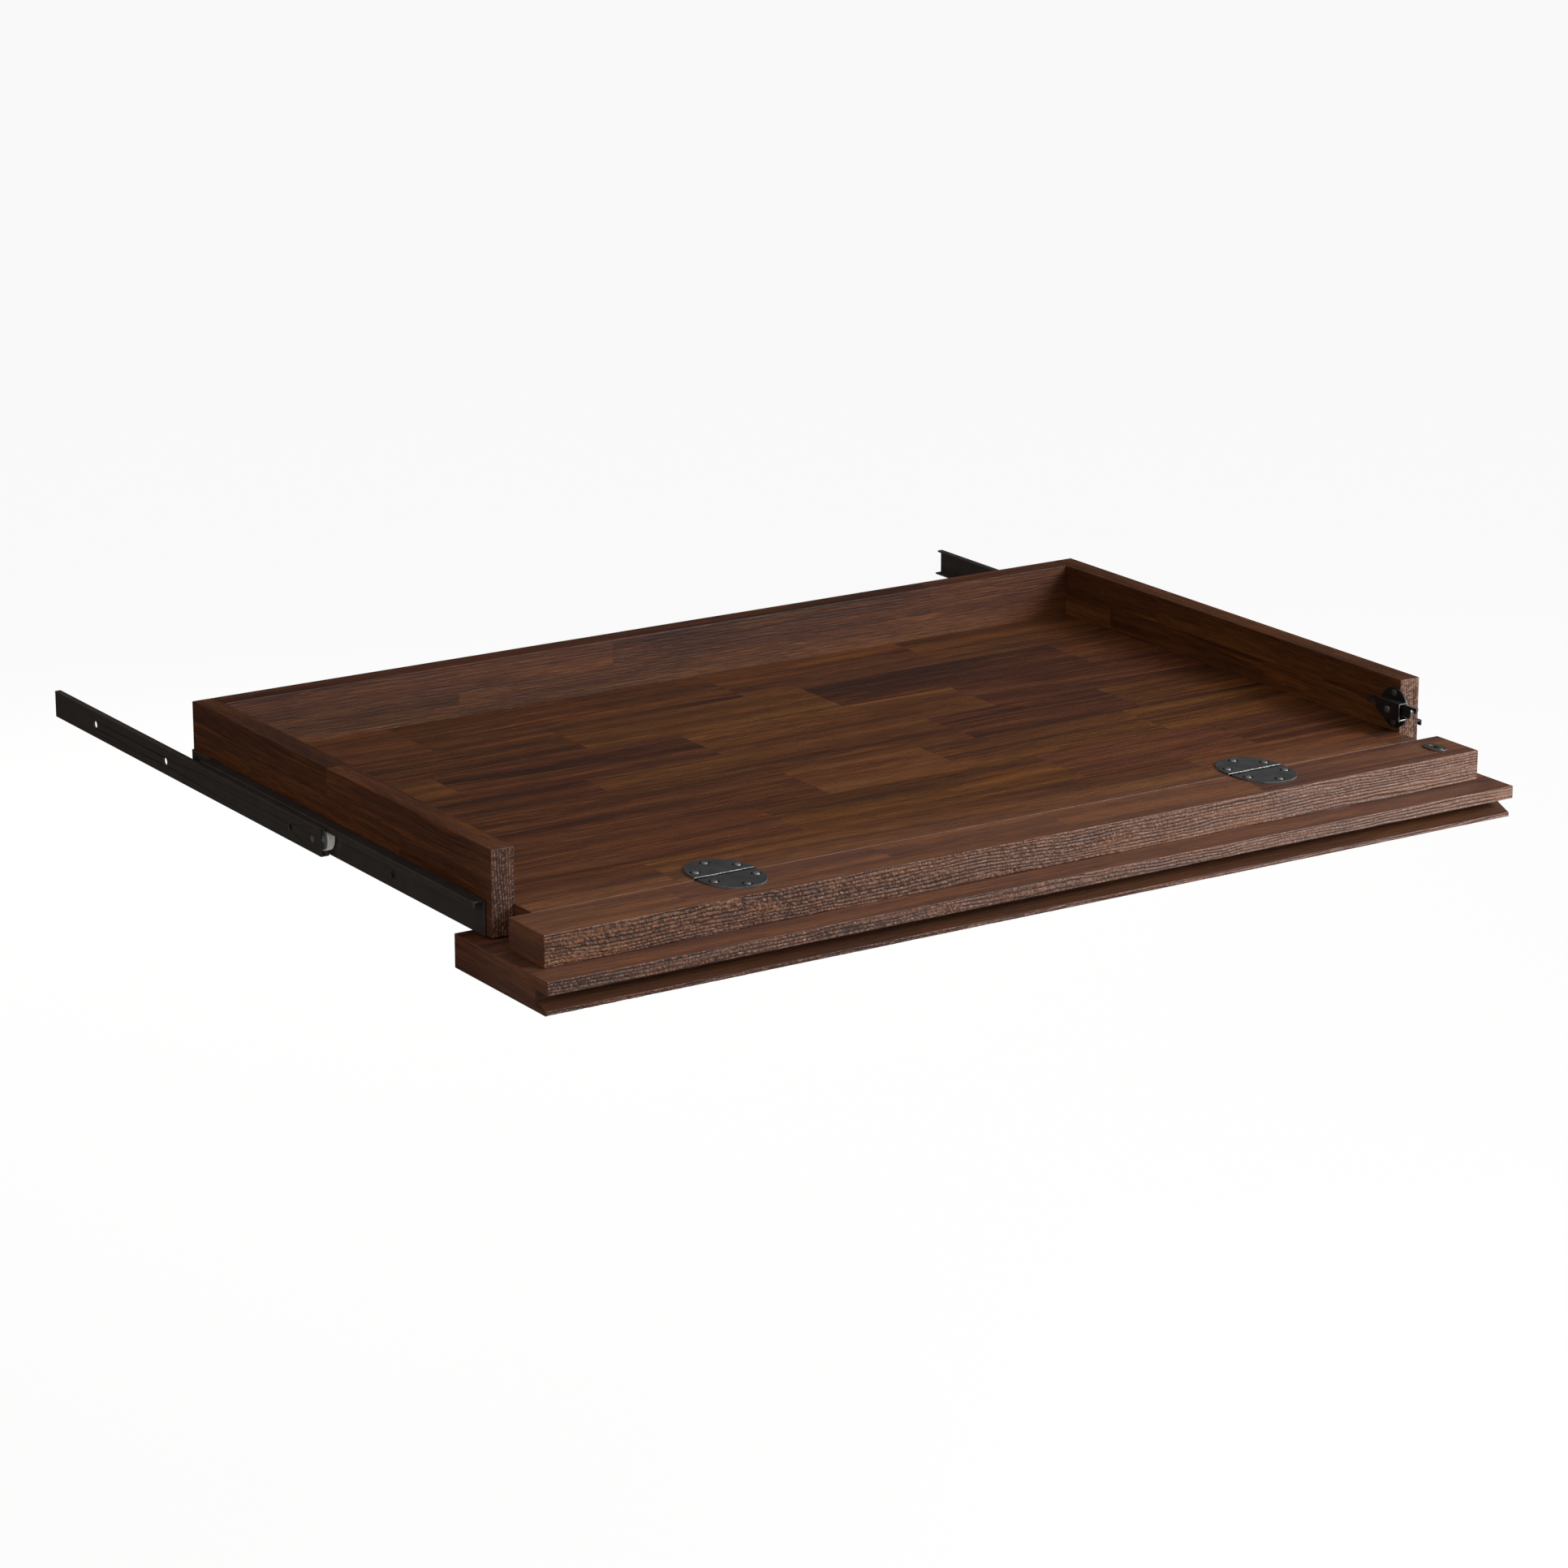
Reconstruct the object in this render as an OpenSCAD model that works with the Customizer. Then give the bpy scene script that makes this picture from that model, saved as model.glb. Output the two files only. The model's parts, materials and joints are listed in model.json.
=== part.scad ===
// Under desk drawer: a shallow wooden keyboard tray that slides out on side
// mounted roller rails. Its front is a drop-down flap on two oval hinges; a small
// spring hook on the right wall holds the flap upright when the drawer is shut.
// Drawn pulled part-way out with the flap down. Millimetres, +Z up, front is -Y.
// Inside the modules y = 0, z = 0 is the hinge line at the top of the floor board;
// place() moves that to the frame whose origin is the middle of the underside.

/* [Tray] */
// Clear width between the two side walls
inner_w = 617; // [560:1:660]
// Thickness of each side wall
side_t = 14.5; // [14:0.5:18]
// Length of the side walls, front to back
side_len = 356; // [350:1:380]
// How far the side walls stand above the floor board
side_up = 32.6; // [31:0.1:50]
// How far the side walls reach below the floor board's top
side_down = 17.3; // [17:0.1:17.8]
// How far the floor board runs out in front of the side walls
floor_lead = 17.6; // [17:0.1:20]
// Thickness of the floor board
floor_t = 15; // [12:0.5:15.5]
// Thickness of the back panel
back_t = 15; // [12:0.5:18]

/* [Flap] */
// Width of the front panel
panel_w = 666.8; // [664:0.1:668]
// Height of the front panel when it stands upright
panel_h = 99.9; // [98:0.1:104]
// Thickness of the front panel
panel_t = 19.7; // [18:0.1:22]
// Distance from the hinge line to the panel's leading edge
panel_lead = 59; // [58:0.5:62]
// Width of the batten that carries the hinges
batten_w = 646.4; // [640:0.1:650]
// Depth of the batten, hinge line to front
batten_d = 38.2; // [37:0.1:40]
// Thickness of the batten
batten_t = 18.6; // [18:0.1:20]

/* [Finger groove] */
// Thickness of the groove's inner lip
lip_t = 7.6; // [6:0.1:8]
// Depth of the groove into the panel's edge
groove_d = 12.7; // [10:0.1:14]
// Height of the groove's back wall
groove_h = 5.3; // [4:0.1:6]
// Depth from the panel's inner face to the outer lip
bevel_end = 17.15; // [16:0.05:17.3]
// How far the outer lip sits back from the inner lip
lip_set = 2.7; // [1:0.1:4]

/* [Oval hinges] */
// Distance of each hinge from the drawer's centre line
hinge_x = 185; // [120:1:240]
// Size of the open hinge along the hinge line
leaf_w = 38.8; // [38.5:0.1:39.5]
// Size of the open hinge across the hinge line
leaf_l = 55.6; // [55:0.1:58]
// Thickness of a hinge leaf
leaf_t = 0.9; // [0.85:0.05:1.1]
// Radius of the hinge knuckles
knuckle_r = 1.0; // [0.95:0.01:1.05]
// Radius of the hinge pin
pin_r = 0.5; // [0.45:0.01:0.52]

/* [Latch] */
// Diameter of the round latch plate
latch_d = 25; // [24:0.5:26]
// Height of the latch housing
latch_h = 11; // [10.8:0.1:11.2]
// Sheet thickness of the latch housing
latch_sheet = 0.8; // [0.7:0.05:0.9]

/* [Rails] */
// Length of each rail
rail_len = 350; // [345:1:352]
// Sheet thickness of the rails
rail_sheet = 1.2; // [1.1:0.05:1.2]
// Side clearance between the tray and the desk on each side
rail_gap = 12.5; // [12.5:0.1:12.8]
// How far the tray is drawn out of the desk at rest
drawn_out = 171; // [165:1:175]

/* [Fasteners] */
// Spacing of the front and middle rail holes for the desk's side
front_pitch = 160; // [128:32:160]
// Spacing of the middle and rear rail holes for the desk's side
rear_pitch = 96; // [64:32:96]
// Radius of the rail holes for the desk's side
rail_hole_r = 2.25; // [2:0.05:2.5]

/* [Hidden] */

wood = [0.33, 0.19, 0.13];
dowel_wood = [0.72, 0.55, 0.36];
black = [0.09, 0.09, 0.10];
steel = [0.24, 0.24, 0.26];
spring_steel = [0.5, 0.5, 0.52];

over = 1;                            // how far a cut runs past the surface

// tray and dropped flap
inner_x = inner_w / 2;               // inner face of a side wall
outer_x = inner_x + side_t;          // outer face of a side wall
side_front = floor_lead;
side_back = side_front + side_len;
back_front = side_back - back_t;     // front face of the back panel
seam = 0.4;                          // gap each side of the hinge line
floor_step = 0.5;                    // step along the floor's top front edge
panel_top = -batten_t;               // inner face of the panel
panel_low = panel_top - panel_t;     // outer face of the panel
panel_front = -panel_lead;           // leading edge of the panel

// dowels
dowel_r = 3;
dowel_hole_r = dowel_r + 0.05;
dowel_chamfer = 0.8;
dowel_end_gap = 0.5;                 // between a dowel's end and its hole's end
board_hole = 19;                     // hole depth into the floor or back panel
side_hole = 10;                      // hole depth into a side wall
flap_hole = 11;                      // hole depth into the panel or batten
// [y, z] of the dowels at the right wall
floor_dowels = [for (i = [0:3]) [side_front + 42 + 90 * i, -floor_t / 2]];
back_dowels = [for (z = [-2, 20]) [side_back - back_t / 2, z]];
flap_dowel_x = [for (i = [-2:2]) i * 140];
flap_dowel_y = -19.5;

// hinges
leaf_screws = [[0, 22.2], [-13.7, 9.7], [13.7, 9.7]];  // [x, y] on the rear leaf
leaf_gap = 1.45;                     // straight edge of a leaf from the hinge line
oval_n = 2.25;                       // fullness of the oval
knuckle_count = 5;
knuckle_pitch = (leaf_w - 0.8) / knuckle_count;
knuckles_w = knuckle_count * knuckle_pitch;
knuckle_gap = 0.1;                   // taken off each end of a knuckle
pivot_z = -0.3;                      // pin axis, just under the wood's surface

// latch on the right wall
latch_y = 22;                        // centre of the round plate
latch_z = 15;
latch_screw_dz = 9.25;
plate_t = 1.2;
plate_x = inner_x - plate_t;         // face of the plate towards the tray's middle
housing_x = inner_x - 7.2;           // face of the housing towards the tray's middle
housing_front = 10;
housing_low = latch_z - latch_h / 2;
housing_top = latch_z + latch_h / 2;
rivet_y = 21;
rivet_r = 1.5;
rivet_collar_r = 2.4;
rivet_bore_r = rivet_r + 0.02;
lever_x = inner_x - 4.9;             // face of the lever towards the tray's middle
lever_t = 1.5;
lever_bore_r = rivet_r + 0.06;
lip_reach = 1.2;                     // lower lip, out from the lever's face
tab_reach = 4.2;                     // thumb tab, out from the lever's face
tab_y = 36;
wire_r = 0.42;
coil_r = 2.3;
leg_r = 0.35;
coil_x = lever_x + lever_t + 0.55;   // first turn of the spring
coil_pitch = 0.8;

// strike on the batten
strike_x = lever_x + lever_t / 2;
strike_y = -20.5;
strike_t = 1;
strike_screw_dy = 5.2;

// rails for the right-hand side; the left is mirrored
web_in = outer_x;                    // drawer rail web
web_out = outer_x + rail_sheet;
cab_out = outer_x + rail_gap;        // cabinet rail web, face against the desk
cab_in = cab_out - rail_sheet;
rail_y = side_front + 5.9;           // front end of the drawer rail
cab_y = rail_y + drawn_out - 4.5;    // front end of the cabinet rail
rail_end = rail_y + rail_len;
cab_end = cab_y + rail_len;
web_low = -17.5;                     // lower edge of the drawer rail
flange_z = 2.0;                      // underside of the drawer rail's top flange
flange_top = flange_z + rail_sheet;
flange_x = outer_x + 8.2;            // outer face of its lip
lip_low = -0.4;                      // lower edge of its lip
lip_end = rail_end - 24;             // the lip stops short of the rear roller
track_z = -13.1;                     // running face of the cabinet rail
track_low = track_z - rail_sheet;
track_x = outer_x + 7;               // inner edge of the running flange
cab_flange_z = 1.05;                 // underside of the cabinet rail's top flange
cab_flange_top = cab_flange_z + rail_sheet;
rail_screw_y = [for (i = [0:2]) rail_y + 103 + 96 * i];
rail_screw_z = -9.8;
rail_screw_hole_r = 1.9;
desk_hole_y = [for (d = [0, front_pitch, front_pitch + rear_pitch]) cab_y + 37 + d];
desk_hole_z = -6;

// rollers: the front one on the cabinet rail, the rear one on the drawer rail
run_gap = 0.05;                      // between a roller and what it runs on or turns on
front_r = 7.95;
front_y = cab_y + 10;
front_z = flange_z - front_r - run_gap;
front_x0 = web_out + 0.5;            // inner and outer faces
front_x1 = flange_x - rail_sheet - 0.4;
rear_r = 7;
rear_y = rail_end - 12.5;
rear_z = track_z + rear_r + run_gap;
rear_x0 = track_x + 0.2;
rear_x1 = cab_in - 0.3;
roller_chamfer = 0.6;
recess_r = 3.7;
recess_d = 1.2;
axle_r = 2;
bore_r = axle_r + run_gap;
axle_head_r = 3.3;
shoulder_r = 4;

// the frame: centre of the width and of the whole depth, underside at zero
origin_y = (panel_front + cab_end) / 2;
origin_z = panel_low;

/* ---- helpers ---- */
module place() translate([0, -origin_y, -origin_z]) children();
module on_side(s) mirror([s < 0 ? 1 : 0, 0, 0]) children();
module both_sides() for (s = [-1, 1]) on_side(s) children();
module box(low, high) translate(low) cube(high - low);
// turns the children's +Z to +X
module along_x(at) translate(at) rotate([0, 90, 0]) children();
module xcyl(r, x0, x1, y, z, fn = 48)
    along_x([x0, y, z]) cylinder(r = r, h = x1 - x0, $fn = fn);
// extrudes a [y, z] outline along X
module yz_plate(x, thick)
    translate([x, 0, 0]) rotate([90, 0, 90]) linear_extrude(thick) children();
function oval_point(rx, ry, power, t) =
    [rx * sign(cos(t)) * pow(abs(cos(t)), power),
     ry * sign(sin(t)) * pow(abs(sin(t)), power)];
function oval(rx, ry, power) = [for (t = [0:6:354]) oval_point(rx, ry, power, t)];

// rod standing on z = 0 with both ends chamfered
module dowel(length)
    rotate_extrude($fn = 32)
        polygon([[0, 0], [dowel_r - dowel_chamfer, 0], [dowel_r, dowel_chamfer],
                 [dowel_r, length - dowel_chamfer], [dowel_r - dowel_chamfer, length],
                 [0, length]]);

// countersunk screw, head level at z = 0, pointing down, with a cross recess
module screw(head_r, head_h, shank_r, length, dome)
    difference() {
        rotate_extrude($fn = 36)
            polygon(concat(
                [[0, -length], [shank_r, -length + 2 * shank_r], [shank_r, -head_h],
                 [head_r, -0.15], [head_r, 0]],
                [for (a = [15:15:75]) [head_r * cos(a), dome * sin(a)]],
                [[0, dome]]));
        for (a = [0, 90]) rotate([0, 0, a + 20])
            box([-head_r * 0.5, -head_r * 0.1, -head_h * 0.35],
                [head_r * 0.5, head_r * 0.1, dome + over]);
    }

/* ---- wooden box ---- */
module dowel_holes(places, x0, x1)
    for (p = places) xcyl(dowel_hole_r, x0, x1, p[0], p[1]);

module board_dowel_holes(places)
    both_sides() dowel_holes(places, inner_x - board_hole, inner_x + over);

// knuckle groove and screw holes of both hinges; d = 1 for the rear leaf, -1 for the front
module hinge_cuts(d)
    for (s = [-1, 1]) translate([s * hinge_x, 0, 0]) {
        xcyl(knuckle_r + 0.3, -leaf_w / 2 - 0.2, leaf_w / 2 + 0.2, 0, pivot_z);
        for (p = leaf_screws) translate([p[0], d * p[1], -12.5])
            cylinder(r = 1.4, h = 13, $fn = 32);
    }

module floor_board() color(wood) place() difference() {
    union() {
        box([-inner_x, seam + floor_step, -floor_t], [inner_x, back_front, 0]);
        box([-inner_x, seam, -floor_t], [inner_x, seam + floor_step, -floor_step]);
    }
    board_dowel_holes(floor_dowels);
    hinge_cuts(1);
}

module side_wall() difference() {
    box([inner_x, side_front, -side_down], [outer_x, side_back, side_up]);
    dowel_holes(concat(floor_dowels, back_dowels), inner_x - over, inner_x + side_hole);
    for (y = rail_screw_y) xcyl(1.6, outer_x - 10, outer_x + over, y, rail_screw_z);
}

module left_side() color(wood) place() on_side(-1) side_wall();

module right_side() color(wood) place() difference() {
    side_wall();
    for (d = [-1, 1])
        xcyl(1.15, inner_x - over, inner_x + 9.5, latch_y, latch_z + d * latch_screw_dz);
}

module back_panel() color(wood) place() difference() {
    box([-inner_x, back_front, -side_down], [inner_x, side_back, side_up]);
    board_dowel_holes(back_dowels);
}

module box_dowels() color(dowel_wood) place()
    both_sides() for (p = concat(floor_dowels, back_dowels))
        along_x([inner_x - board_hole + dowel_end_gap, p[0], p[1]])
            dowel(board_hole + side_hole - 2 * dowel_end_gap);

/* ---- flap ---- */
module flap_dowel_holes(z)
    for (x = flap_dowel_x) translate([x, flap_dowel_y, z])
        cylinder(r = dowel_hole_r, h = flap_hole + over, $fn = 32);

module front_panel() color(wood) place() difference() {
    yz_plate(-panel_w / 2, panel_w)
        polygon([[panel_front, panel_top],
                 [panel_front, panel_top - lip_t],
                 [panel_front + groove_d, panel_top - lip_t],
                 [panel_front + groove_d, panel_top - lip_t - groove_h],
                 [panel_front + lip_set, panel_top - bevel_end],
                 [panel_front + lip_set, panel_low],
                 [panel_front + panel_h, panel_low],
                 [panel_front + panel_h, panel_top]]);
    flap_dowel_holes(panel_top - flap_hole);
}

module front_batten() color(wood) place() difference() {
    box([-batten_w / 2, -batten_d, -batten_t], [batten_w / 2, -seam, 0]);
    flap_dowel_holes(-batten_t - over);
    hinge_cuts(-1);
    // pocket for the latch hook and holes for the strike's screws
    box([strike_x - 1.7, strike_y - 3.4, -4.8], [strike_x + 1.7, strike_y + 3.8, over]);
    for (d = [-1, 1]) translate([strike_x, strike_y + d * strike_screw_dy, -9.5])
        cylinder(r = 1.05, h = 9.5 + over, $fn = 32);
}

module front_dowels() color(dowel_wood) place()
    for (x = flap_dowel_x)
        translate([x, flap_dowel_y, panel_top - flap_hole + dowel_end_gap])
            dowel(2 * (flap_hole - dowel_end_gap));

/* ---- oval hinges ---- */
function leaf_edge_x(y) = leaf_w / 2 * pow(1 - pow(y / (leaf_l / 2), oval_n), 1 / oval_n);
// the part of the oval beyond the straight edge at y = edge
function half_oval(edge) = concat(
    [[leaf_edge_x(edge), edge]],
    [for (t = [4:4:176])
        let (p = oval_point(leaf_w / 2, leaf_l / 2, 2 / oval_n, t))
        if (p[1] > edge + 0.3) p],
    [[-leaf_edge_x(edge), edge]]);

// one leaf lying on +Y; knuckles lists its knuckles, counted from -X
module leaf(knuckles) difference() {
    union() {
        linear_extrude(leaf_t) polygon(half_oval(leaf_gap));
        for (i = knuckles) {
            x0 = -knuckles_w / 2 + knuckle_pitch * i + knuckle_gap;
            x1 = -knuckles_w / 2 + knuckle_pitch * (i + 1) - knuckle_gap;
            xcyl(knuckle_r, x0, x1, 0, pivot_z, 40);
            box([x0, 0, 0], [x1, leaf_gap + 0.3, 0.45]);
        }
    }
    xcyl(pin_r + 0.04, -leaf_w, leaf_w, 0, pivot_z, 32);
    for (p = leaf_screws) translate([p[0], p[1], 0]) {
        translate([0, 0, -0.5]) cylinder(r = 1.6, h = 2, $fn = 36);
        translate([0, 0, 0.1]) cylinder(r1 = 1.6, r2 = 3.05, h = leaf_t - 0.1, $fn = 36);
        translate([0, 0, leaf_t]) cylinder(r = 3.05, h = over, $fn = 36);
    }
}

module rear_leaf(s) color(steel) place() translate([s * hinge_x, 0, 0]) leaf([0, 2, 4]);
module front_leaf(s) color(steel) place()
    translate([s * hinge_x, 0, 0]) mirror([0, 1, 0]) leaf([1, 3]);
module left_hinge_rear_leaf() rear_leaf(-1);
module right_hinge_rear_leaf() rear_leaf(1);
module left_hinge_front_leaf() front_leaf(-1);
module right_hinge_front_leaf() front_leaf(1);

module hinge_pin(s) color(steel) place()
    xcyl(pin_r, s * hinge_x - knuckles_w / 2, s * hinge_x + knuckles_w / 2, 0, pivot_z, 32);
module left_hinge_pin() hinge_pin(-1);
module right_hinge_pin() hinge_pin(1);

module hinge_screws(d) color(steel) place()
    for (s = [-1, 1]) for (p = leaf_screws)
        translate([s * hinge_x + p[0], d * p[1], leaf_t - 0.1])
            screw(head_r = 2.25, head_h = leaf_t - 0.15, shank_r = 1.3, length = 12,
                  dome = 0.85);
module hinge_rear_screws() hinge_screws(1);
module hinge_front_screws() hinge_screws(-1);

/* ---- latch ---- */
module latch_plate() color(black) place() difference() {
    xcyl(latch_d / 2, plate_x, inner_x, latch_y, latch_z, 72);
    xcyl(rivet_bore_r, plate_x - over, inner_x + over, rivet_y, latch_z);
    for (d = [-1, 1]) {
        z = latch_z + d * latch_screw_dz;
        xcyl(1.3, plate_x - over, inner_x + over, latch_y, z);
        along_x([plate_x, latch_y, z]) cylinder(r1 = 2.35, r2 = 1.3, h = plate_t, $fn = 36);
    }
}

// web with a flange along its top and its lower edge, reaching to the plate
module latch_housing() color(black) place() difference() {
    union() {
        yz_plate(housing_x, latch_sheet)
            polygon([[housing_front, housing_low], [25, housing_low], [32, housing_low + 4.5],
                     [32, housing_top - 1.5], [30.5, housing_top],
                     [housing_front, housing_top]]);
        box([housing_x, housing_front, housing_top - latch_sheet],
            [plate_x, 29.5, housing_top]);
        box([housing_x, housing_front, housing_low],
            [plate_x, 25, housing_low + latch_sheet]);
    }
    xcyl(rivet_bore_r, housing_x - over, housing_x + 2, rivet_y, latch_z);
}

// [y, z] outline of the lever, from the hook's tip along the lower edge and back
lever_outline = [
    [-3.5, 20.4], [-3.5, 19.4], [-2.3, 16.9], [-1.1, 16.9], [-1.1, 18.6], [3, 18.6],
    [5, 12.5], [9.5, 12.2], [13, 12.2], [21, 11.4], [27, 12.4], [32, 14.6],
    [34, 16.4], [34, 18.2], [28, 18], [9.6, 17.7], [7.4, 20.2], [6.2, 20.4]];

module latch_lever() color(black) place() difference() {
    union() {
        yz_plate(lever_x, lever_t) {
            polygon(lever_outline);
            translate([6.0, 16.2]) circle(r = 4.2, $fn = 48);
        }
        // stiffening lip folded along the lower edge
        yz_plate(lever_x - lip_reach, lip_reach + 0.2)
            polygon([[4.6, 12.4], [13, 12.2], [13, 13], [4.9, 13.2]]);
        // thumb tab, bent over towards the tray's middle, with a rounded end
        intersection() {
            yz_plate(lever_x - tab_reach, tab_reach + lever_t)
                polygon([[32, 16.7], [41, 17.8], [41, 18.8], [32, 17.8]]);
            translate([lever_x + (lever_t - tab_reach) / 2, tab_y, 10]) linear_extrude(15)
                polygon(oval((tab_reach + lever_t) / 2, 4.4, 0.85));
        }
    }
    xcyl(lever_bore_r, lever_x - over, lever_x + lever_t + over, rivet_y, latch_z);
}

// domed head outside the housing, collar between housing and lever, shank to the wall;
// the profile's columns are radius and x
module latch_rivet() color(steel) place()
    along_x([0, rivet_y, latch_z]) rotate_extrude($fn = 48)
        polygon([[0, housing_x - 1.1], [1.2, housing_x - 0.95], [2.1, housing_x - 0.55],
                 [rivet_collar_r, housing_x - 0.01], [rivet_r, housing_x - 0.01],
                 [rivet_r, housing_x + latch_sheet + 0.02],
                 [rivet_collar_r, housing_x + latch_sheet + 0.02],
                 [rivet_collar_r, lever_x - 0.06], [rivet_r, lever_x - 0.06],
                 [rivet_r, inner_x - 0.02], [0, inner_x - 0.02]]);

// two turns of wire round the rivet, with one leg up to the housing and one back to the lever
module latch_spring() color(spring_steel) place() {
    for (i = [0, 1]) along_x([coil_x + coil_pitch * i, rivet_y, latch_z])
        rotate_extrude($fn = 48) translate([coil_r, 0]) circle(r = wire_r, $fn = 16);
    translate([coil_x + coil_pitch, rivet_y + coil_r, latch_z])
        cylinder(r = leg_r, h = 4.6, $fn = 16);
    translate([coil_x, rivet_y, latch_z - coil_r]) rotate([-90, 0, 0])
        cylinder(r = leg_r, h = 8, $fn = 16);
}

module latch_screws() color(steel) place()
    for (d = [-1, 1]) translate([plate_x + 0.1, latch_y, latch_z + d * latch_screw_dz])
        rotate([0, 180, 0]) along_x([0, 0, 0])
            screw(head_r = 2.1, head_h = plate_t - 0.15, shank_r = 1.05, length = 9.5,
                  dome = 0.6);

module strike_plate() color(steel) place() difference() {
    translate([strike_x, strike_y, 0]) linear_extrude(strike_t)
        polygon(oval(5.35, 8.6, 0.9));
    box([strike_x - 1.5, strike_y - 2.8, -over], [strike_x + 1.5, strike_y + 2.3, 2]);
    for (d = [-1, 1]) translate([strike_x, strike_y + d * strike_screw_dy, 0]) {
        translate([0, 0, -0.5]) cylinder(r = 1.15, h = 2, $fn = 36);
        cylinder(r1 = 1.15, r2 = 1.95, h = strike_t, $fn = 36);
    }
}

module strike_screws() color(steel) place()
    for (d = [-1, 1])
        translate([strike_x, strike_y + d * strike_screw_dy, strike_t - 0.1])
            screw(head_r = 1.7, head_h = 0.8, shank_r = 0.95, length = 10, dome = 0.5);

/* ---- rails, drawn for the right-hand side ---- */
module drawer_rail() difference() {
    union() {
        box([web_in, rail_y, web_low], [web_out, rail_end, flange_top]);
        box([web_in, rail_y, flange_z], [flange_x, lip_end, flange_top]);
        box([flange_x - rail_sheet, rail_y, lip_low], [flange_x, lip_end, flange_top]);
    }
    xcyl(axle_r, web_in - over, web_out + over, rear_y, rear_z);
    for (y = rail_screw_y) {
        xcyl(rail_screw_hole_r, web_in - over, web_out + over, y, rail_screw_z);
        along_x([web_in, y, rail_screw_z])
            cylinder(r1 = rail_screw_hole_r, r2 = 3.0, h = rail_sheet, $fn = 36);
    }
}

module cabinet_rail() difference() {
    union() {
        box([cab_in, cab_y, track_low], [cab_out, cab_end, cab_flange_top]);
        box([track_x, cab_y, track_low], [cab_out, cab_end, track_z]);
        box([flange_x + 0.4, cab_y, cab_flange_z], [cab_out, cab_end, cab_flange_top]);
    }
    xcyl(axle_r, cab_in - over, cab_out + over, front_y, front_z);
    for (y = desk_hole_y) xcyl(rail_hole_r, cab_in - over, cab_out + over, y, desk_hole_z);
}

// w is the roller's width; the recess for the axle's head is in one face
module roller(r, w, recess_inside) {
    rim = [[r - roller_chamfer, 0], [r, roller_chamfer],
           [r, w - roller_chamfer], [r - roller_chamfer, w]];
    rotate_extrude($fn = 72)
        polygon(recess_inside
            ? concat([[recess_r, 0]], rim,
                     [[bore_r, w], [bore_r, recess_d], [recess_r, recess_d]])
            : concat([[bore_r, 0]], rim,
                     [[recess_r, w], [recess_r, w - recess_d], [bore_r, w - recess_d]]));
}
module front_roller()
    along_x([front_x0, front_y, front_z]) roller(front_r, front_x1 - front_x0, true);
module rear_roller()
    along_x([rear_x0, rear_y, rear_z]) roller(rear_r, rear_x1 - rear_x0, false);

// shouldered axles riveted through the rails, each head inside its roller's recess;
// the profiles' columns are radius and x
module front_axle() along_x([0, front_y, front_z]) rotate_extrude($fn = 48)
    polygon([[0, front_x0 + 0.1], [axle_head_r, front_x0 + 0.1],
             [axle_head_r, front_x0 + 1.05], [axle_r, front_x0 + 1.05],
             [axle_r, front_x1 + 0.1], [shoulder_r, front_x1 + 0.1],
             [shoulder_r, cab_in - 0.01], [axle_r, cab_in - 0.01],
             [axle_r, cab_out], [0, cab_out]]);
module rear_axle() along_x([0, rear_y, rear_z]) rotate_extrude($fn = 48)
    polygon([[0, web_in + 0.02], [axle_r, web_in + 0.02],
             [axle_r, web_out + 0.01], [shoulder_r, web_out + 0.01],
             [shoulder_r, rear_x0 - 0.1], [axle_r, rear_x0 - 0.1],
             [axle_r, rear_x1 - 1.05], [axle_head_r, rear_x1 - 1.05],
             [axle_head_r, rear_x1 - 0.1], [0, rear_x1 - 0.1]]);

module rail_screws()
    for (y = rail_screw_y) along_x([web_out - 0.05, y, rail_screw_z])
        screw(head_r = 2.65, head_h = rail_sheet - 0.1, shank_r = 1.5, length = 10.5,
              dome = 0.02);

module left_cabinet_rail() color(black) place() on_side(-1) cabinet_rail();
module right_cabinet_rail() color(black) place() cabinet_rail();
module left_drawer_rail() color(black) place() on_side(-1) drawer_rail();
module right_drawer_rail() color(black) place() drawer_rail();
module left_front_roller() color("whitesmoke") place() on_side(-1) front_roller();
module right_front_roller() color("whitesmoke") place() front_roller();
module left_rear_roller() color("whitesmoke") place() on_side(-1) rear_roller();
module right_rear_roller() color("whitesmoke") place() rear_roller();
module left_front_axle() color("silver") place() on_side(-1) front_axle();
module right_front_axle() color("silver") place() front_axle();
module left_rear_axle() color("silver") place() on_side(-1) rear_axle();
module right_rear_axle() color("silver") place() rear_axle();
module left_drawer_rail_screws() color(black) place() on_side(-1) rail_screws();
module right_drawer_rail_screws() color(black) place() rail_screws();

floor_board();
left_side();
right_side();
back_panel();
box_dowels();
front_panel();
front_batten();
front_dowels();
left_hinge_rear_leaf();
right_hinge_rear_leaf();
left_hinge_front_leaf();
right_hinge_front_leaf();
left_hinge_pin();
right_hinge_pin();
hinge_rear_screws();
hinge_front_screws();
latch_plate();
latch_housing();
latch_lever();
latch_rivet();
latch_spring();
latch_screws();
strike_plate();
strike_screws();
left_cabinet_rail();
right_cabinet_rail();
left_drawer_rail();
right_drawer_rail();
left_front_roller();
right_front_roller();
left_rear_roller();
right_rear_roller();
left_front_axle();
right_front_axle();
left_rear_axle();
right_rear_axle();
left_drawer_rail_screws();
right_drawer_rail_screws();
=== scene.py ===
import json
import math

import bpy
import numpy as np
from mathutils import Matrix, Vector


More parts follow.
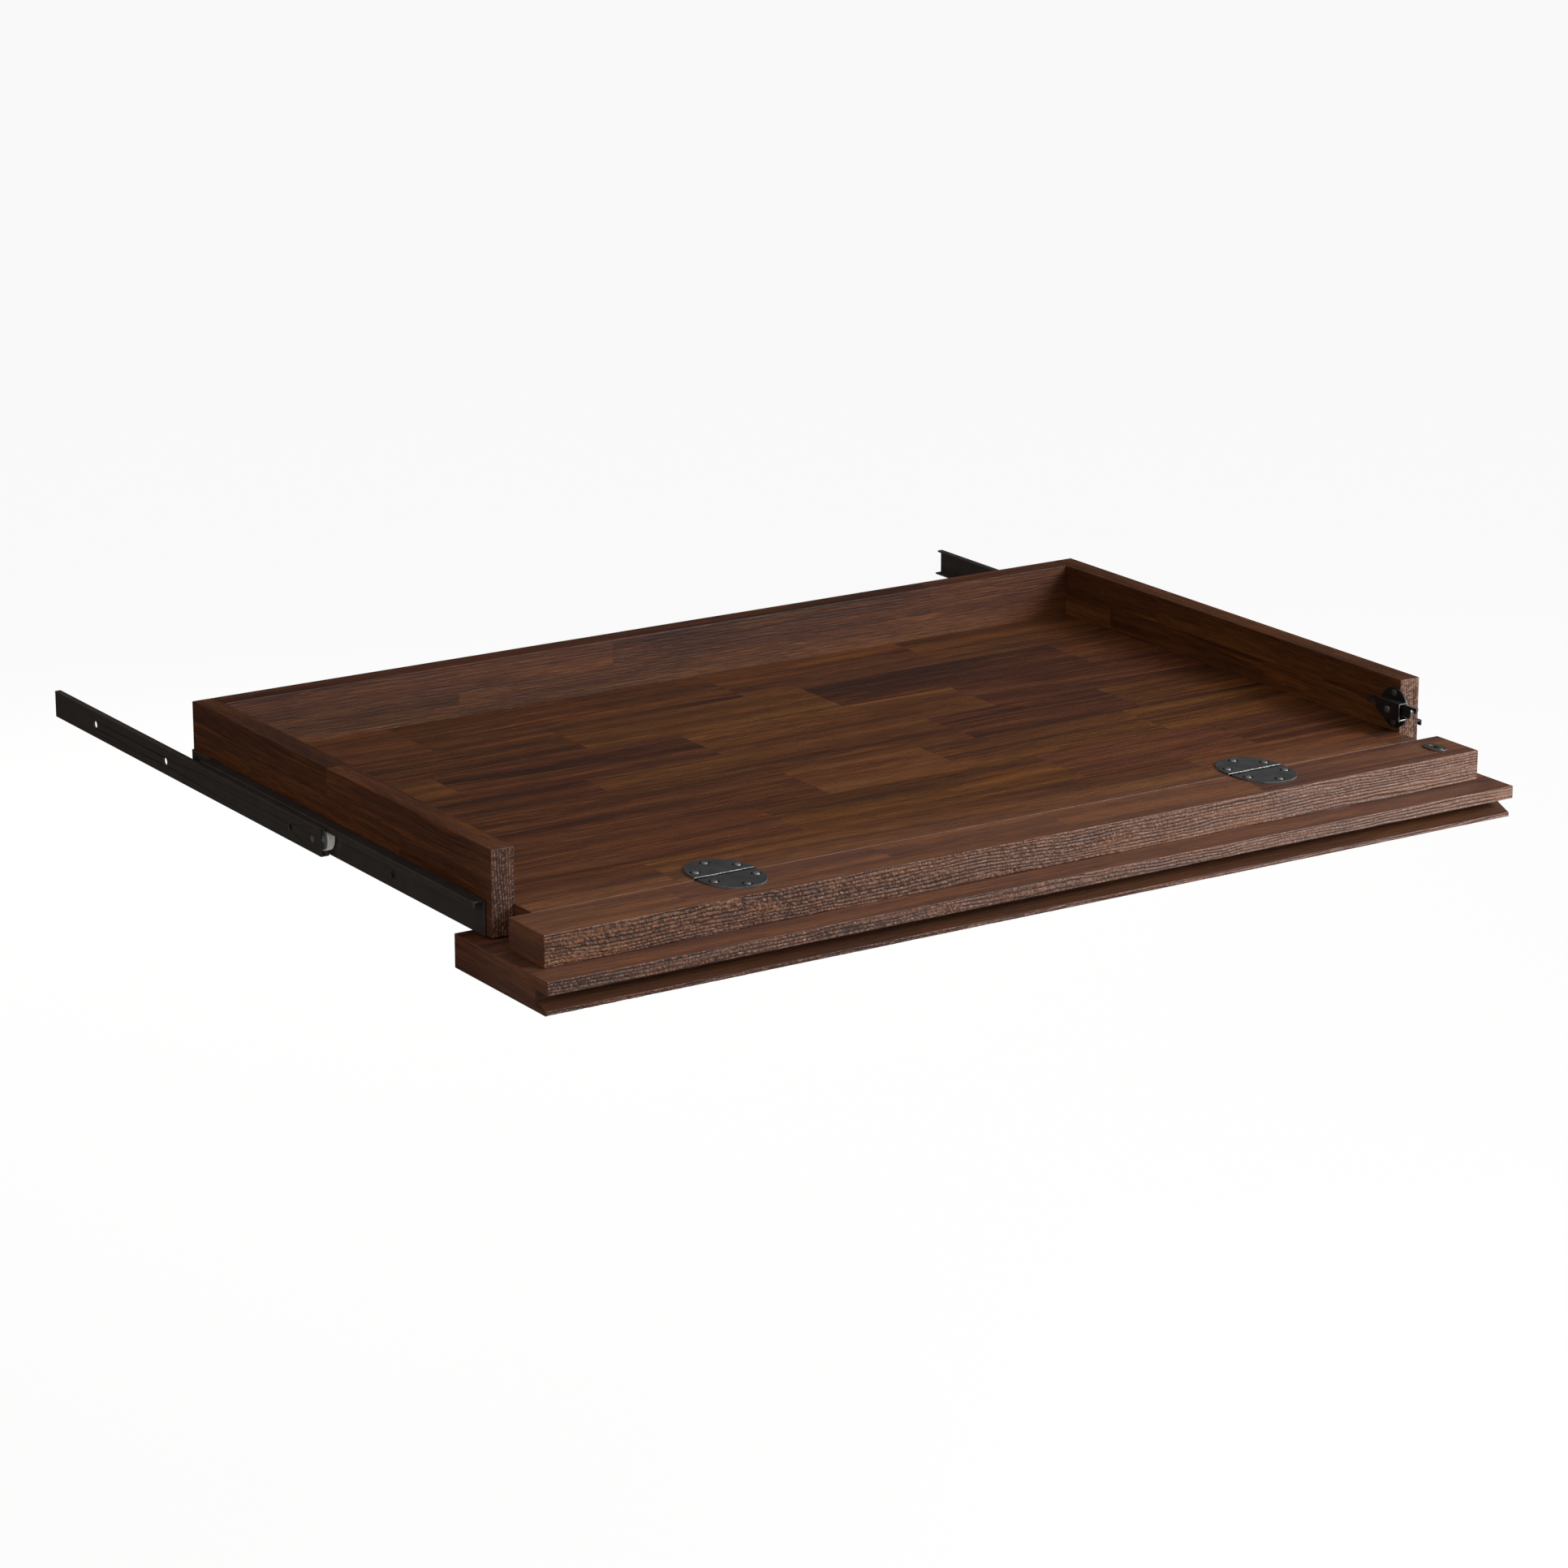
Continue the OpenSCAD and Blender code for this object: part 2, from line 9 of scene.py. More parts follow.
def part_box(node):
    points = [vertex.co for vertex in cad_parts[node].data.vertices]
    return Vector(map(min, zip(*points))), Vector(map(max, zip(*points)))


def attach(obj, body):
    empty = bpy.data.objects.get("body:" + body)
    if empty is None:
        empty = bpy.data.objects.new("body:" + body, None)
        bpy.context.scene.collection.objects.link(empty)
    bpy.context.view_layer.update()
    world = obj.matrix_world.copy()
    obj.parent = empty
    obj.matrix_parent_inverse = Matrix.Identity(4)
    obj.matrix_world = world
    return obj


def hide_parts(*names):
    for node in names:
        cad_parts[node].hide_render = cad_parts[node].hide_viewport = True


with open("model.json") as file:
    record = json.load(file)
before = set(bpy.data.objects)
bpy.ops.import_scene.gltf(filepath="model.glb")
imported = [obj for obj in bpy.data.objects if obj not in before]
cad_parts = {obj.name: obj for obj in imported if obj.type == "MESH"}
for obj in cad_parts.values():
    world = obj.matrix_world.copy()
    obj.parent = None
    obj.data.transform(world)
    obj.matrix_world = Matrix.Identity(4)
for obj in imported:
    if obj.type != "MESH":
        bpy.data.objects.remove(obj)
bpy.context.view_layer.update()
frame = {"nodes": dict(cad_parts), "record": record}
NODES = frame["nodes"]

# ---------------------------------------------------------------- frame of reference
# Boards are laid out in millimetres from the hinge line at the floor board's top.
MM = 1000.0  # millimetres in a metre
floor_low, floor_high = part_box("floor_board")
batten_low, batten_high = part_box("front_batten")
HINGE_Y = (floor_low.y + batten_high.y) / 2
TOP_Z = floor_high.z
ORIGIN = np.array([0.0, HINGE_Y, TOP_Z])


def local_box(node):
    low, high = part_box(node)
    return (np.array(low) - ORIGIN) * MM, (np.array(high) - ORIGIN) * MM


# ---------------------------------------------------------------- repeatable relief
class Noise2:
    """Smooth value noise on a fixed random lattice."""

    def __init__(self, seed, size=1024):
        self.size = size
        self.lattice = np.random.RandomState(seed).rand(size, size)

    def __call__(self, x, y):
        x, y = np.broadcast_arrays(np.asarray(x, float), np.asarray(y, float))
        col, row = np.floor(x).astype(int), np.floor(y).astype(int)
        part_x, part_y = x - col, y - row
        part_x = part_x * part_x * (3 - 2 * part_x)
        part_y = part_y * part_y * (3 - 2 * part_y)

        def blend_x(row):
            left = self.lattice[col % self.size, row % self.size]
            right = self.lattice[(col + 1) % self.size, row % self.size]
            return left * (1 - part_x) + right * part_x

        return blend_x(row) * (1 - part_y) + blend_x(row + 1) * part_y


BROAD, FINE, DEPTH = Noise2(101), Noise2(202), Noise2(303)


def smooth(start, end, x):
    t = np.clip((x - start) / (end - start), 0, 1)
    return t * t * (3 - 2 * t)


def wander(along, across, shift, broad, fine):
    """Sideways drift of the lines. broad and fine: (length along, length across, size), mm."""
    total = 0
    for noise, (length, width, size) in ((BROAD, broad), (FINE, fine)):
        total = total + (noise(along / length + shift, across / width) - 0.5) * size
    return total


def brushed(along, across, seed, pitch, calm=1.0):
    """Wire-brushed relief, 0 in the valleys to 1 on the ridges, which run along (mm)."""
    shift = seed * 37.7
    drift = wander(along, across, shift, (60.0, 12.0, 4.2), (15.0, 4.0, 1.2))
    phase = (across + drift) / pitch
    row = np.floor(phase)
    ridge = np.sin(np.pi * (phase - row))
    depth = 0.20 + 1.05 * DEPTH(along / 24.0 + shift, row * 5.3 + 0.5)
    ridge = 1 - np.clip(depth, 0, 1) * (1 - ridge ** 0.7)
    # slanted hatching over the ridges
    hatch_along = along * 0.60 + across * 0.80
    hatch_across = -along * 0.80 + across * 0.60
    hatch = smooth(0.2, 0.8, FINE(hatch_across / 0.78 + shift, hatch_along / 2.0 + row * 0.6))
    strength = (0.20 + 0.30 * BROAD(along / 35.0 + shift, row * 3.3)) * calm
    return np.clip(ridge * (1 - strength * (1 - hatch)), 0, 1)


def combed(along, across, seed, pitch):
    """Light brushing on a planed face: 0 in a fine line to 1 between lines."""
    shift = seed * 53.1
    drift = wander(along, across, shift, (120.0, 16.0, 3.2), (30.0, 5.0, 0.8))
    phase = (across + drift) / pitch
    line = (0.5 + 0.5 * np.cos(2 * np.pi * phase)) ** 2.2
    depth = np.clip(1.1 * DEPTH(along / 70.0 + shift, np.floor(phase) * 4.1 + 0.5), 0, 1)
    return 1 - depth * line


# ---------------------------------------------------------------- glued strips
def layout(rows, seed, start, end):
    """Gives each glued strip its own tone, warmth and seed.

    rows: (low edge, high edge, [joints along the row], [(tone, warmth) per strip] or None).
    """
    rand = np.random.RandomState(seed)
    strips = []
    for low, high, joints, looks in rows:
        edges = [start - 50] + list(joints) + [end + 50]
        blocks = []
        for i in range(len(edges) - 1):
            look = looks[i] if looks else (rand.uniform(-0.7, 0.7), rand.uniform(-0.8, 0.8))
            blocks.append((edges[i], edges[i + 1], *look, rand.rand()))
        strips.append((low, high, blocks))
    return strips


def looks_at(strips, along, across):
    """Face attributes at the given places."""
    looks = {key: np.zeros(len(along)) for key in ("seed", "tone", "warm", "glue")}
    for low, high, blocks in strips:
        row = (across >= low) & (across < high)
        for start, end, tone, warm, seed in blocks:
            inside = row & (along >= start) & (along < end)
            looks["seed"][inside] = seed
            looks["tone"][inside] = tone
            looks["warm"][inside] = warm
            rim = (along < start + 0.12) | (along > end - 0.12) | (across > high - 0.14)
            looks["glue"][inside & rim] = 1
    return looks


def butt_cuts(strips):
    """Grid lines either side of each joint along the rows."""
    return [x for _, _, blocks in strips for b in blocks[1:] for x in (b[0] - 0.1, b[0] + 0.1)]


def row_cuts(rows):
    """Grid lines that hold the glue line at each row's high edge."""
    return [v for row in rows for v in (row[1] - 0.13, row[1])]


# ---------------------------------------------------------------- board meshes
EASE = [1.0, 0.577, 0.268, 0.0]  # insets of the lines round an eased edge, as shares of its radius
EDGE_R = 0.55  # eased edges of the boards, mm


def lines(low, high, radius, step, extra=()):
    """Grid positions from low to high: lines round each eased edge, then even steps."""
    count = max(1, int(round((high - low - 2 * radius) / step)))
    out = [low + radius * (1 - e) for e in EASE[:-1]]
    out += list(np.linspace(low + radius, high - radius, count + 1))
    out += [high - radius * (1 - e) for e in EASE[:-1]]
    out = np.array(sorted(out))
    extra = [e for e in extra if low + radius < e < high - radius]
    for e in extra:
        near = np.abs(out - e) < 0.3 * step
        near[:4] = near[-4:] = False
        out = np.sort(np.append(out[~near], e))
    for e in extra:  # a pair of cuts may sit closer than a step
        if np.min(np.abs(out - e)) > 1e-6:
            out = np.sort(np.append(out, e))
    return out


def make_piece(node, body, verts, faces, relief, looks, flat_faces=0):
    """faces: groups of faces, each a vertex number array of one polygon size or a list of n-gons.

    The last flat_faces faces are flat shaded.
    """
    name = f"{node}_wood"
    me = bpy.data.meshes.new(name)
    places = np.asarray(verts, float) / MM + ORIGIN
    loops, sizes = [], []
    for group in faces:
        if isinstance(group, np.ndarray):
            loops.append(group.ravel())
            sizes.append(np.full(len(group), group.shape[1]))
        else:
            loops.append(np.concatenate([np.asarray(f) for f in group]))
            sizes.append(np.array([len(f) for f in group]))
    loops = np.concatenate(loops).astype(np.int32)
    sizes = np.concatenate(sizes).astype(np.int32)
    starts = np.concatenate([[0], np.cumsum(sizes)[:-1]]).astype(np.int32)
    me.vertices.add(len(places))
    me.vertices.foreach_set("co", places.astype(np.float32).ravel())
    me.loops.add(len(loops))
    me.loops.foreach_set("vertex_index", loops)
    me.polygons.add(len(starts))
    me.polygons.foreach_set("loop_start", starts)
    me.update(calc_edges=True)
    shaded = np.ones(len(starts), bool)
    shaded[len(starts) - flat_faces:] = False
    me.polygons.foreach_set("use_smooth", shaded)
    attributes = [("relief", "POINT", relief)] + [(k, "FACE", v) for k, v in looks.items()]
    for key, domain, values in attributes:
        layer = me.attributes.new(key, "FLOAT", domain)
        layer.data.foreach_set("value", np.asarray(values, np.float32))
    me.validate()
    ob = bpy.data.objects.new(name, me)
    bpy.context.scene.collection.objects.link(ob)
    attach(ob, body)
    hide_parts(node)
    normals = ob.modifiers.new("normals", "WEIGHTED_NORMAL")
    normals.keep_sharp = True
    normals.weight = 60
    return ob


def surface_grid(xs, ys, zs):
    """Vertices, outward quads and grid indices of a box gridded at xs, ys and zs."""
    on = np.zeros((len(xs), len(ys), len(zs)), bool)
    on[[0, -1], :, :] = True
    on[:, [0, -1], :] = True
    on[:, :, [0, -1]] = True
    index = -np.ones(on.shape, np.int32)
    index[on] = np.arange(on.sum())
    ijk = np.argwhere(on)
    verts = np.stack([xs[ijk[:, 0]], ys[ijk[:, 1]], zs[ijk[:, 2]]], 1)
    quads = []
    for side, flip in ((index[0], True), (index[-1], False),
                       (index[:, 0, :], False), (index[:, -1, :], True),
                       (index[:, :, 0], True), (index[:, :, -1], False)):
        a, b, c, d = side[:-1, :-1], side[1:, :-1], side[1:, 1:], side[:-1, 1:]
        ring = [a, d, c, b] if flip else [a, b, c, d]
        quads.append(np.stack(ring, -1).reshape(-1, 4))
    return verts, np.concatenate(quads), ijk


def board(node, steps, run, rows, seed, relief):
    """A solid drawer board on a box grid, its strips running along axis run and stacked in z.

    relief: (axis, side, depth, axis along the lines, axis across them, kind).
    """
    low, high = local_box(node)
    strips = layout(rows, seed, low[run], high[run])
    extra = [[], [], row_cuts(rows)]
    extra[run] += butt_cuts(strips)
    grid = [lines(low[i], high[i], EDGE_R, steps[i], extra[i]) for i in range(3)]
    square, quads, ijk = surface_grid(*grid)
    core = np.clip(square, low + EDGE_R, high - EDGE_R)
    out = square - core
    normals = out / np.maximum(np.linalg.norm(out, axis=1, keepdims=True), 1e-9)
    verts = core + EDGE_R * normals
    heights, is_brushed = np.full(len(verts), 0.5), np.zeros(len(quads))
    for axis, side, depth, along, across, kind in relief:
        layer = 0 if side < 0 else len(grid[axis]) - 1
        face = ijk[:, axis] == layer
        place = square[face, along], square[face, across], seed + 3 * axis + side
        if kind == "brushed":
            height = brushed(*place, pitch=1.6)
            heights[face] = height
            is_brushed[(ijk[quads, axis] == layer).all(1)] = 1
        else:
            height = combed(*place, pitch=2.0)
            heights[face] = np.minimum(heights[face], height)
        sink = depth * (1 - height) * np.abs(normals[face, axis])
        verts[face] -= normals[face] * sink[:, None]
    mid = square[quads].mean(1)
    looks = looks_at(strips, mid[:, run], mid[:, 2])
    looks["brushed"] = is_brushed
    return make_piece(node, "drawer", verts, [quads], heights, looks)


def profile(corners, radii, steps, cuts, arc_steps=3):
    """Samples a closed (y, z) profile with rounded corners. Side i runs from corner i to the next.

    Returns points and, for each, (side, share, side, share) for the two sides it belongs to.
    """
    count = len(corners)
    corners = [np.array(p, float) for p in corners]
    arcs = []
    for i in range(count):
        before, here, after = corners[i - 1], corners[i], corners[(i + 1) % count]
        to_before = (before - here) / np.linalg.norm(before - here)
        to_after = (after - here) / np.linalg.norm(after - here)
        half = math.acos(float(np.clip(to_before @ to_after, -1, 1))) / 2
        radius = radii[i]
        trim = radius / math.tan(half)
        bisector = (to_before + to_after) / np.linalg.norm(to_before + to_after)
        centre = here + bisector * radius / math.sin(half)
        start, end = here + to_before * trim, here + to_after * trim
        angle = math.atan2(*(start - centre)[::-1])
        sweep_angle = math.atan2(*(end - centre)[::-1]) - angle
        sweep_angle = (sweep_angle + math.pi) % (2 * math.pi) - math.pi
        arcs.append((centre, angle, sweep_angle, start, end))
    points, owners = [], []
    for i in range(count):
        centre, angle, sweep_angle, _, end = arcs[i]
        for j in range(arc_steps + 1):
            t = angle + sweep_angle * j / arc_steps
            points.append(centre + radii[i] * np.array([math.cos(t), math.sin(t)]))
            owners.append(((i - 1) % count, 1 - j / arc_steps, i, j / arc_steps))
        ahead = arcs[(i + 1) % count][3] - end
        length = np.linalg.norm(ahead)
        even = np.linspace(0, 1, max(1, int(round(length / steps[i]))) + 1)[1:-1]
        axis = 0 if abs(ahead[0]) > abs(ahead[1]) else 1
        want = [(value - end[axis]) / ahead[axis] for value in cuts.get(i, ())]
        want = [t for t in want if 0.03 / length < t < 1 - 0.03 / length]
        free = [t for t in even if all(abs(t - w) * length > 0.3 * steps[i] for w in want)]
        for t in sorted(set(free + want)):
            points.append(end + ahead * t)
            owners.append((i, 1.0, i, 0.0))
    return np.array(points), owners


def sweep(node, body, corners, radii, steps, fine, x_fine, x_coarse, relief, rows, seed, cuts,
          x_cuts=(), edit=None):
    """A board as a (y, z) profile carried along x.

    steps: spacing on each side. cuts: side -> extra places on it. relief: side -> (depth, kind,
    seed). Sides in fine get close-set x lines. edit moves the finished vertices.
    """
    low, high = local_box(node)
    strips = layout(rows, seed, low[0], high[0])
    points, owners = profile(corners, radii, steps, cuts)
    ease = min(EDGE_R, 0.85 * min(radii))
    coarse = lines(low[0], high[0], ease, x_coarse, butt_cuts(strips) + list(x_cuts))
    dense, cell_at = [], []
    for a, b in zip(coarse[:-1], coarse[1:]):
        cell_at.append(len(dense))
        parts = max(1, int(round((b - a) / x_fine)))
        dense += list(a + (b - a) * np.arange(parts) / parts)
    cell_at.append(len(dense))
    dense = np.array(dense + [coarse[-1]])

    count = len(points)
    ahead = np.roll(points, -1, 0)
    tangent = ahead - np.roll(points, 1, 0)
    tangent /= np.linalg.norm(tangent, axis=1, keepdims=True)
    turns_left = np.sum(points[:, 0] * ahead[:, 1] - ahead[:, 0] * points[:, 1]) > 0
    normals = np.stack([tangent[:, 1], -tangent[:, 0]], 1) * (1 if turns_left else -1)

    # which lengthwise lines are dense: those on a segment that touches a fine side
    touch = [{o[0], o[2]} for o in owners]
    sides = [{o[0], o[2]} if 0 < o[1] < 1 else ({o[0]} if o[1] >= 1 else {o[2]}) for o in owners]
    segment_fine = []
    for j in range(count):
        k = (j + 1) % count
        coarse_side = sides[j] == sides[k] and not (sides[j] & fine)
        segment_fine.append(bool((touch[j] | touch[k]) & fine) and not coarse_side)
    line_fine = [segment_fine[j] or segment_fine[j - 1] for j in range(count)]
    line_x = [dense if is_fine else coarse for is_fine in line_fine]
    start = [0] + [int(total) for total in np.cumsum([len(x) for x in line_x])[:-1]]

    verts, heights = [], []
    for j, x in enumerate(line_x):
        to_end = np.minimum(x - low[0], high[0] - x)
        inset = np.maximum(0, ease - to_end)
        move = ease - np.sqrt(np.maximum(ease * ease - inset * inset, 0))
        line_height = np.full(len(x), 0.5)
        for side, share in (owners[j][:2], owners[j][2:]):
            if side not in relief or share <= 0:
                continue
            depth, kind, relief_seed = relief[side]
            first = np.array(corners[side])
            edge = np.array(corners[(side + 1) % len(corners)]) - first
            across = float((points[j] - first) @ edge / np.linalg.norm(edge))
            if kind == "brushed":
                calm = 1.15 - 0.6 * smooth(-150, 250, x)
                height = brushed(x, across, relief_seed, pitch=2.05, calm=calm)
            else:
                height = combed(x, across, relief_seed, pitch=3.1)
            rim = smooth(0.0, 3.0 if depth < 0.4 else 1.3, to_end)
            move = move + depth * share * rim * (1 - height)
            if share >= 0.5 or kind == "brushed":
                line_height = height
        y = points[j, 0] - normals[j, 0] * move
        z = points[j, 1] - normals[j, 1] * move
        verts.append(np.stack([x, y, z], 1))
        heights.append(line_height)
    verts, heights = np.concatenate(verts), np.concatenate(heights)

    def cell_edge(j, cell):
        """Vertices of line j along one coarse cell."""
        if line_fine[j]:
            return list(range(start[j] + cell_at[cell], start[j] + cell_at[cell + 1] + 1))
        return [start[j] + cell, start[j] + cell + 1]

    order = -1 if turns_left else 1
    quads, ngons, quad_brushed, ngon_brushed = [], [], [], []
    brushed_sides = {side for side, spec in relief.items() if spec[1] == "brushed"}
    for j in range(count):
        k = (j + 1) % count
        flag = 1.0 if (touch[j] & touch[k] & brushed_sides) else 0.0
        if line_fine[j] == line_fine[k]:
            a = start[j] + np.arange(len(line_x[j]) - 1)
            b = start[k] + np.arange(len(line_x[j]) - 1)
            quads.append(np.stack([a, a + 1, b + 1, b], 1)[:, ::order])
            quad_brushed.append(np.full(len(a), flag))
        else:
            for cell in range(len(coarse) - 1):
                ring = cell_edge(j, cell) + cell_edge(k, cell)[::-1]
                ngons.append(ring[::order])
                ngon_brushed.append(flag)
    finish = [start[j] + len(line_x[j]) - 1 for j in range(count)]
    ends = [start[::-order], finish[::order]]
    faces = [np.concatenate(quads)] + ([ngons] if ngons else []) + [ends]
    mid = np.concatenate([verts[group].mean(1) if isinstance(group, np.ndarray)
                          else np.array([verts[f].mean(0) for f in group]) for group in faces])
    looks = looks_at(strips, mid[:, 0], mid[:, 1])
    looks["brushed"] = np.concatenate(quad_brushed + [np.array(ngon_brushed), np.zeros(2)])
    if edit:
        verts = edit(verts)
    return make_piece(node, body, verts, faces, heights, looks, flat_faces=len(ends))


# ---------------------------------------------------------------- notches under the hinges
hinge_boxes = [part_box(n) for n in ("left_hinge_rear_leaf", "right_hinge_rear_leaf")]
HINGE_X = [(low.x + high.x) / 2 * MM for low, high in hinge_boxes]
LEAF_W = (hinge_boxes[0][1].x - hinge_boxes[0][0].x) * MM
LEAF_T = (hinge_boxes[0][1].z - TOP_Z) * MM
NOTCH_GAP = (0.2, 0.26)  # each end wall of a notch lies between these, beyond the leaf
NOTCH_LINE = 1.62  # grid line behind the notch, from the hinge line
NOTCH_FLOOR = [-1.7, -1.8]  # the notch's floor lies between these in z
notch_cuts = [x + side * (LEAF_W / 2 + gap)
              for x in HINGE_X for side in (-1, 1) for gap in NOTCH_GAP]


def cut_notches(verts, side):
    """Draws the edge back from the hinge line under each hinge. side: 1 floor board, -1 batten."""
    reach = LEAF_W / 2 + sum(NOTCH_GAP) / 2
    near = np.zeros(len(verts), bool)
    for x in HINGE_X:
        near |= np.abs(verts[:, 0] - x) < reach
    y = verts[:, 1] * side
    near &= (y < NOTCH_LINE - 0.02) & (verts[:, 2] > sum(NOTCH_FLOOR) / 2)
    verts[near, 1] = side * (1.5 + (y[near] - 0.4) * 0.05)
    return verts


# ---------------------------------------------------------------- the six boards
TOP, FRONT = 0, 1  # sides of a rectangular profile; then come 2 underside and REAR
REAR = 3


def rectangle(node):
    low, high = local_box(node)
    return [(high[1], high[2]), (low[1], high[2]), (low[1], low[2]), (high[1], low[2])]


# floor board: rows of strips across the drawer, each ([joints in x], [(tone, warmth) per strip])
ROW_EDGES = [-20.0] + [46.0 + 51.0 * i for i in range(6)] + [400.0]
FLOOR_LOOKS = [
    ([-213, 164, 290], [(0.35, -0.1), (0.45, 0.25), (0.5, -0.3), (-0.1, 0.3)]),
    ([-103, 94, 222], [(0.15, -0.55), (0.25, 1.0), (0.05, -0.8), (-0.3, -0.3)]),
    ([-51, 47, 197], [(-0.35, -0.2), (0.65, -0.2), (-0.05, 0.5), (0.1, 0.9)]),
    ([-156, 87, 214], [(-0.6, 0.0), (-0.05, 0.4), (-0.75, -0.7), (-0.4, 0.5)]),
    ([-230, -60, 140], [(0.1, 0.6), (-0.4, -0.3), (0.35, 0.3), (-0.2, -0.6)]),
    ([-120, 60, 250], [(-0.35, 0.1), (0.4, 0.7), (-0.5, -0.3), (0.1, 0.0)]),
    ([-200, 20, 170], [(0.3, -0.4), (-0.4, 0.3), (0.15, -0.1), (-0.3, 0.5)]),
]
floor_rows = [(*row, *look) for row, look in zip(zip(ROW_EDGES, ROW_EDGES[1:]), FLOOR_LOOKS)]
floor = sweep(
    "floor_board", "drawer", rectangle("floor_board"), radii=[EDGE_R, 0.7, EDGE_R, EDGE_R],
    steps=[0.48, 3.0, 6.0, 3.0], fine=set(), x_fine=1.0, x_coarse=6.5,
    relief={TOP: (0.12, "combed", 5), 2: (0.10, "combed", 6)}, rows=floor_rows, seed=11,
    cuts={TOP: row_cuts(floor_rows) + [NOTCH_LINE], FRONT: NOTCH_FLOOR},
    x_cuts=notch_cuts, edit=lambda verts: cut_notches(verts, 1))

# side walls: brushed front ends; the other listed faces are lightly combed
WALL_SPLIT = 15.5  # height of the glue line between the walls' two rows
WALL_STEPS = (0.30, 4.2, 0.34)
WALL_RELIEF = [(1, -1, 0.36, 2, 0, "brushed"), (2, 1, 0.09, 1, 0, "combed"),
               (0, -1, 0.09, 1, 2, "combed"), (0, 1, 0.09, 1, 2, "combed")]
left = board("left_side", WALL_STEPS, run=1, seed=23, relief=WALL_RELIEF, rows=[
    (-30, WALL_SPLIT, [120, 300], [(-0.1, 0.1), (0.3, -0.4), (0.0, 0.2)]),
    (WALL_SPLIT, 60, [205], [(0.1, -0.3), (-0.2, 0.2)])])
right = board("right_side", WALL_STEPS, run=1, seed=31, relief=WALL_RELIEF, rows=[
    (-30, WALL_SPLIT, [150, 310], [(-0.05, 0.35), (-0.4, 0.0), (0.2, 0.2)]),
    (WALL_SPLIT, 60, [90, 260], [(0.1, 0.25), (-0.25, 0.5), (0.1, 0.0)])])
back = board("back_panel", (4.5, 1.2, 0.5), run=0, seed=47, rows=[
    (-30, WALL_SPLIT, [-150, 90], None), (WALL_SPLIT, 60, [-40, 200], None)],
    relief=[(1, -1, 0.09, 0, 2, "combed"), (1, 1, 0.09, 0, 2, "combed"),
            (2, 1, 0.08, 0, 1, "combed")])

# batten: brushed front face, and a pocket under the strike for the latch hook
strike_low, strike_high = local_box("strike_plate")
strike_x, strike_y, _ = (strike_low + strike_high) / 2
POCKET_X = (strike_x - 1.7, strike_x + 1.7)
POCKET_Y = (strike_y - 3.4, strike_y + 3.8)
POCKET_DEPTH = 4.8


def wall_cuts(span, wall=0.05):
    """Pairs of grid lines that make the pocket's steep walls."""
    return [span[0] - wall, span[0], span[1], span[1] + wall]


def batten_edit(verts):
    verts = cut_notches(verts, -1)
    pocket = verts[:, 2] > -0.3
    for axis, (start, end) in enumerate((POCKET_X, POCKET_Y)):
        pocket &= (verts[:, axis] > start - 0.005) & (verts[:, axis] < end + 0.005)
    verts[pocket, 2] -= POCKET_DEPTH
    return verts


batten_rows = [
    (-60, -28.6, [-200, 164], [(0.65, -0.3), (0.6, -0.2), (0.25, -0.7)]),
    (-28.6, 5, [-228, -90, 28, 166],
     [(0.5, 0.0), (0.75, -0.6), (0.5, -0.3), (0.65, -0.2), (0.4, -0.4)])]
batten = sweep(
    "front_batten", "front_flap", rectangle("front_batten"), radii=[0.6, 0.5, 0.5, EDGE_R],
    steps=[0.46, 0.36, 6.0, 3.0], fine={FRONT}, x_fine=0.5, x_coarse=3.2,
    relief={TOP: (0.13, "combed", 7), FRONT: (0.42, "brushed", 8)}, rows=batten_rows, seed=59,
    cuts={TOP: [-NOTCH_LINE] + wall_cuts(POCKET_Y) + row_cuts(batten_rows), REAR: NOTCH_FLOOR},
    x_cuts=notch_cuts + wall_cuts(POCKET_X), edit=batten_edit)

# front panel: a groove with a sloping floor runs along its front edge. Sides in order: upper lip,
# groove roof, groove wall, bevel, lower lip, underside, rear edge, top face.
UPPER_LIP, BEVEL_SIDE, LOWER_LIP, UNDERSIDE, TOP_FACE = 0, 3, 4, 5, 7
LIP_H = 7.6  # height of the upper lip
GROOVE_DEPTH = 12.7
LIP_SETBACK = 2.7  # the lower lip stands behind the upper one
(_, front_y, under_z), (_, rear_y, top_z) = local_box("front_panel")
panel = sweep(
    "front_panel", "front_flap",
    [(front_y, top_z), (front_y, top_z - LIP_H), (front_y + GROOVE_DEPTH, top_z - LIP_H),
     (front_y + GROOVE_DEPTH, top_z - 12.9), (front_y + LIP_SETBACK, top_z - 17.15),
     (front_y + LIP_SETBACK, under_z), (rear_y, under_z), (rear_y, top_z)],
    radii=[0.45, 0.3, 1.1, 1.1, 0.3, 0.45, EDGE_R, EDGE_R],
    steps=[0.36, 2.0, 1.2, 0.6, 0.36, 0.48, 2.5, 5.0],
    fine={UPPER_LIP, LOWER_LIP}, x_fine=0.52, x_coarse=3.0,
    relief={UPPER_LIP: (0.42, "brushed", 9), BEVEL_SIDE: (0.12, "combed", 10),
            LOWER_LIP: (0.34, "brushed", 12), UNDERSIDE: (0.34, "brushed", 13),
            TOP_FACE: (0.12, "combed", 14)},
    rows=[(-80, -8.0, [-90, 224], [(0.2, -0.5), (0.3, -0.25), (0.1, -0.4)]),
          (-8.0, 60, [-170, 60, 240], None)], seed=67,
    # close lines where the top face shows in front of the batten
    cuts={TOP_FACE: list(np.arange(front_y + 0.6, batten_low.y * MM - HINGE_Y * MM + 0.6, 0.46))})


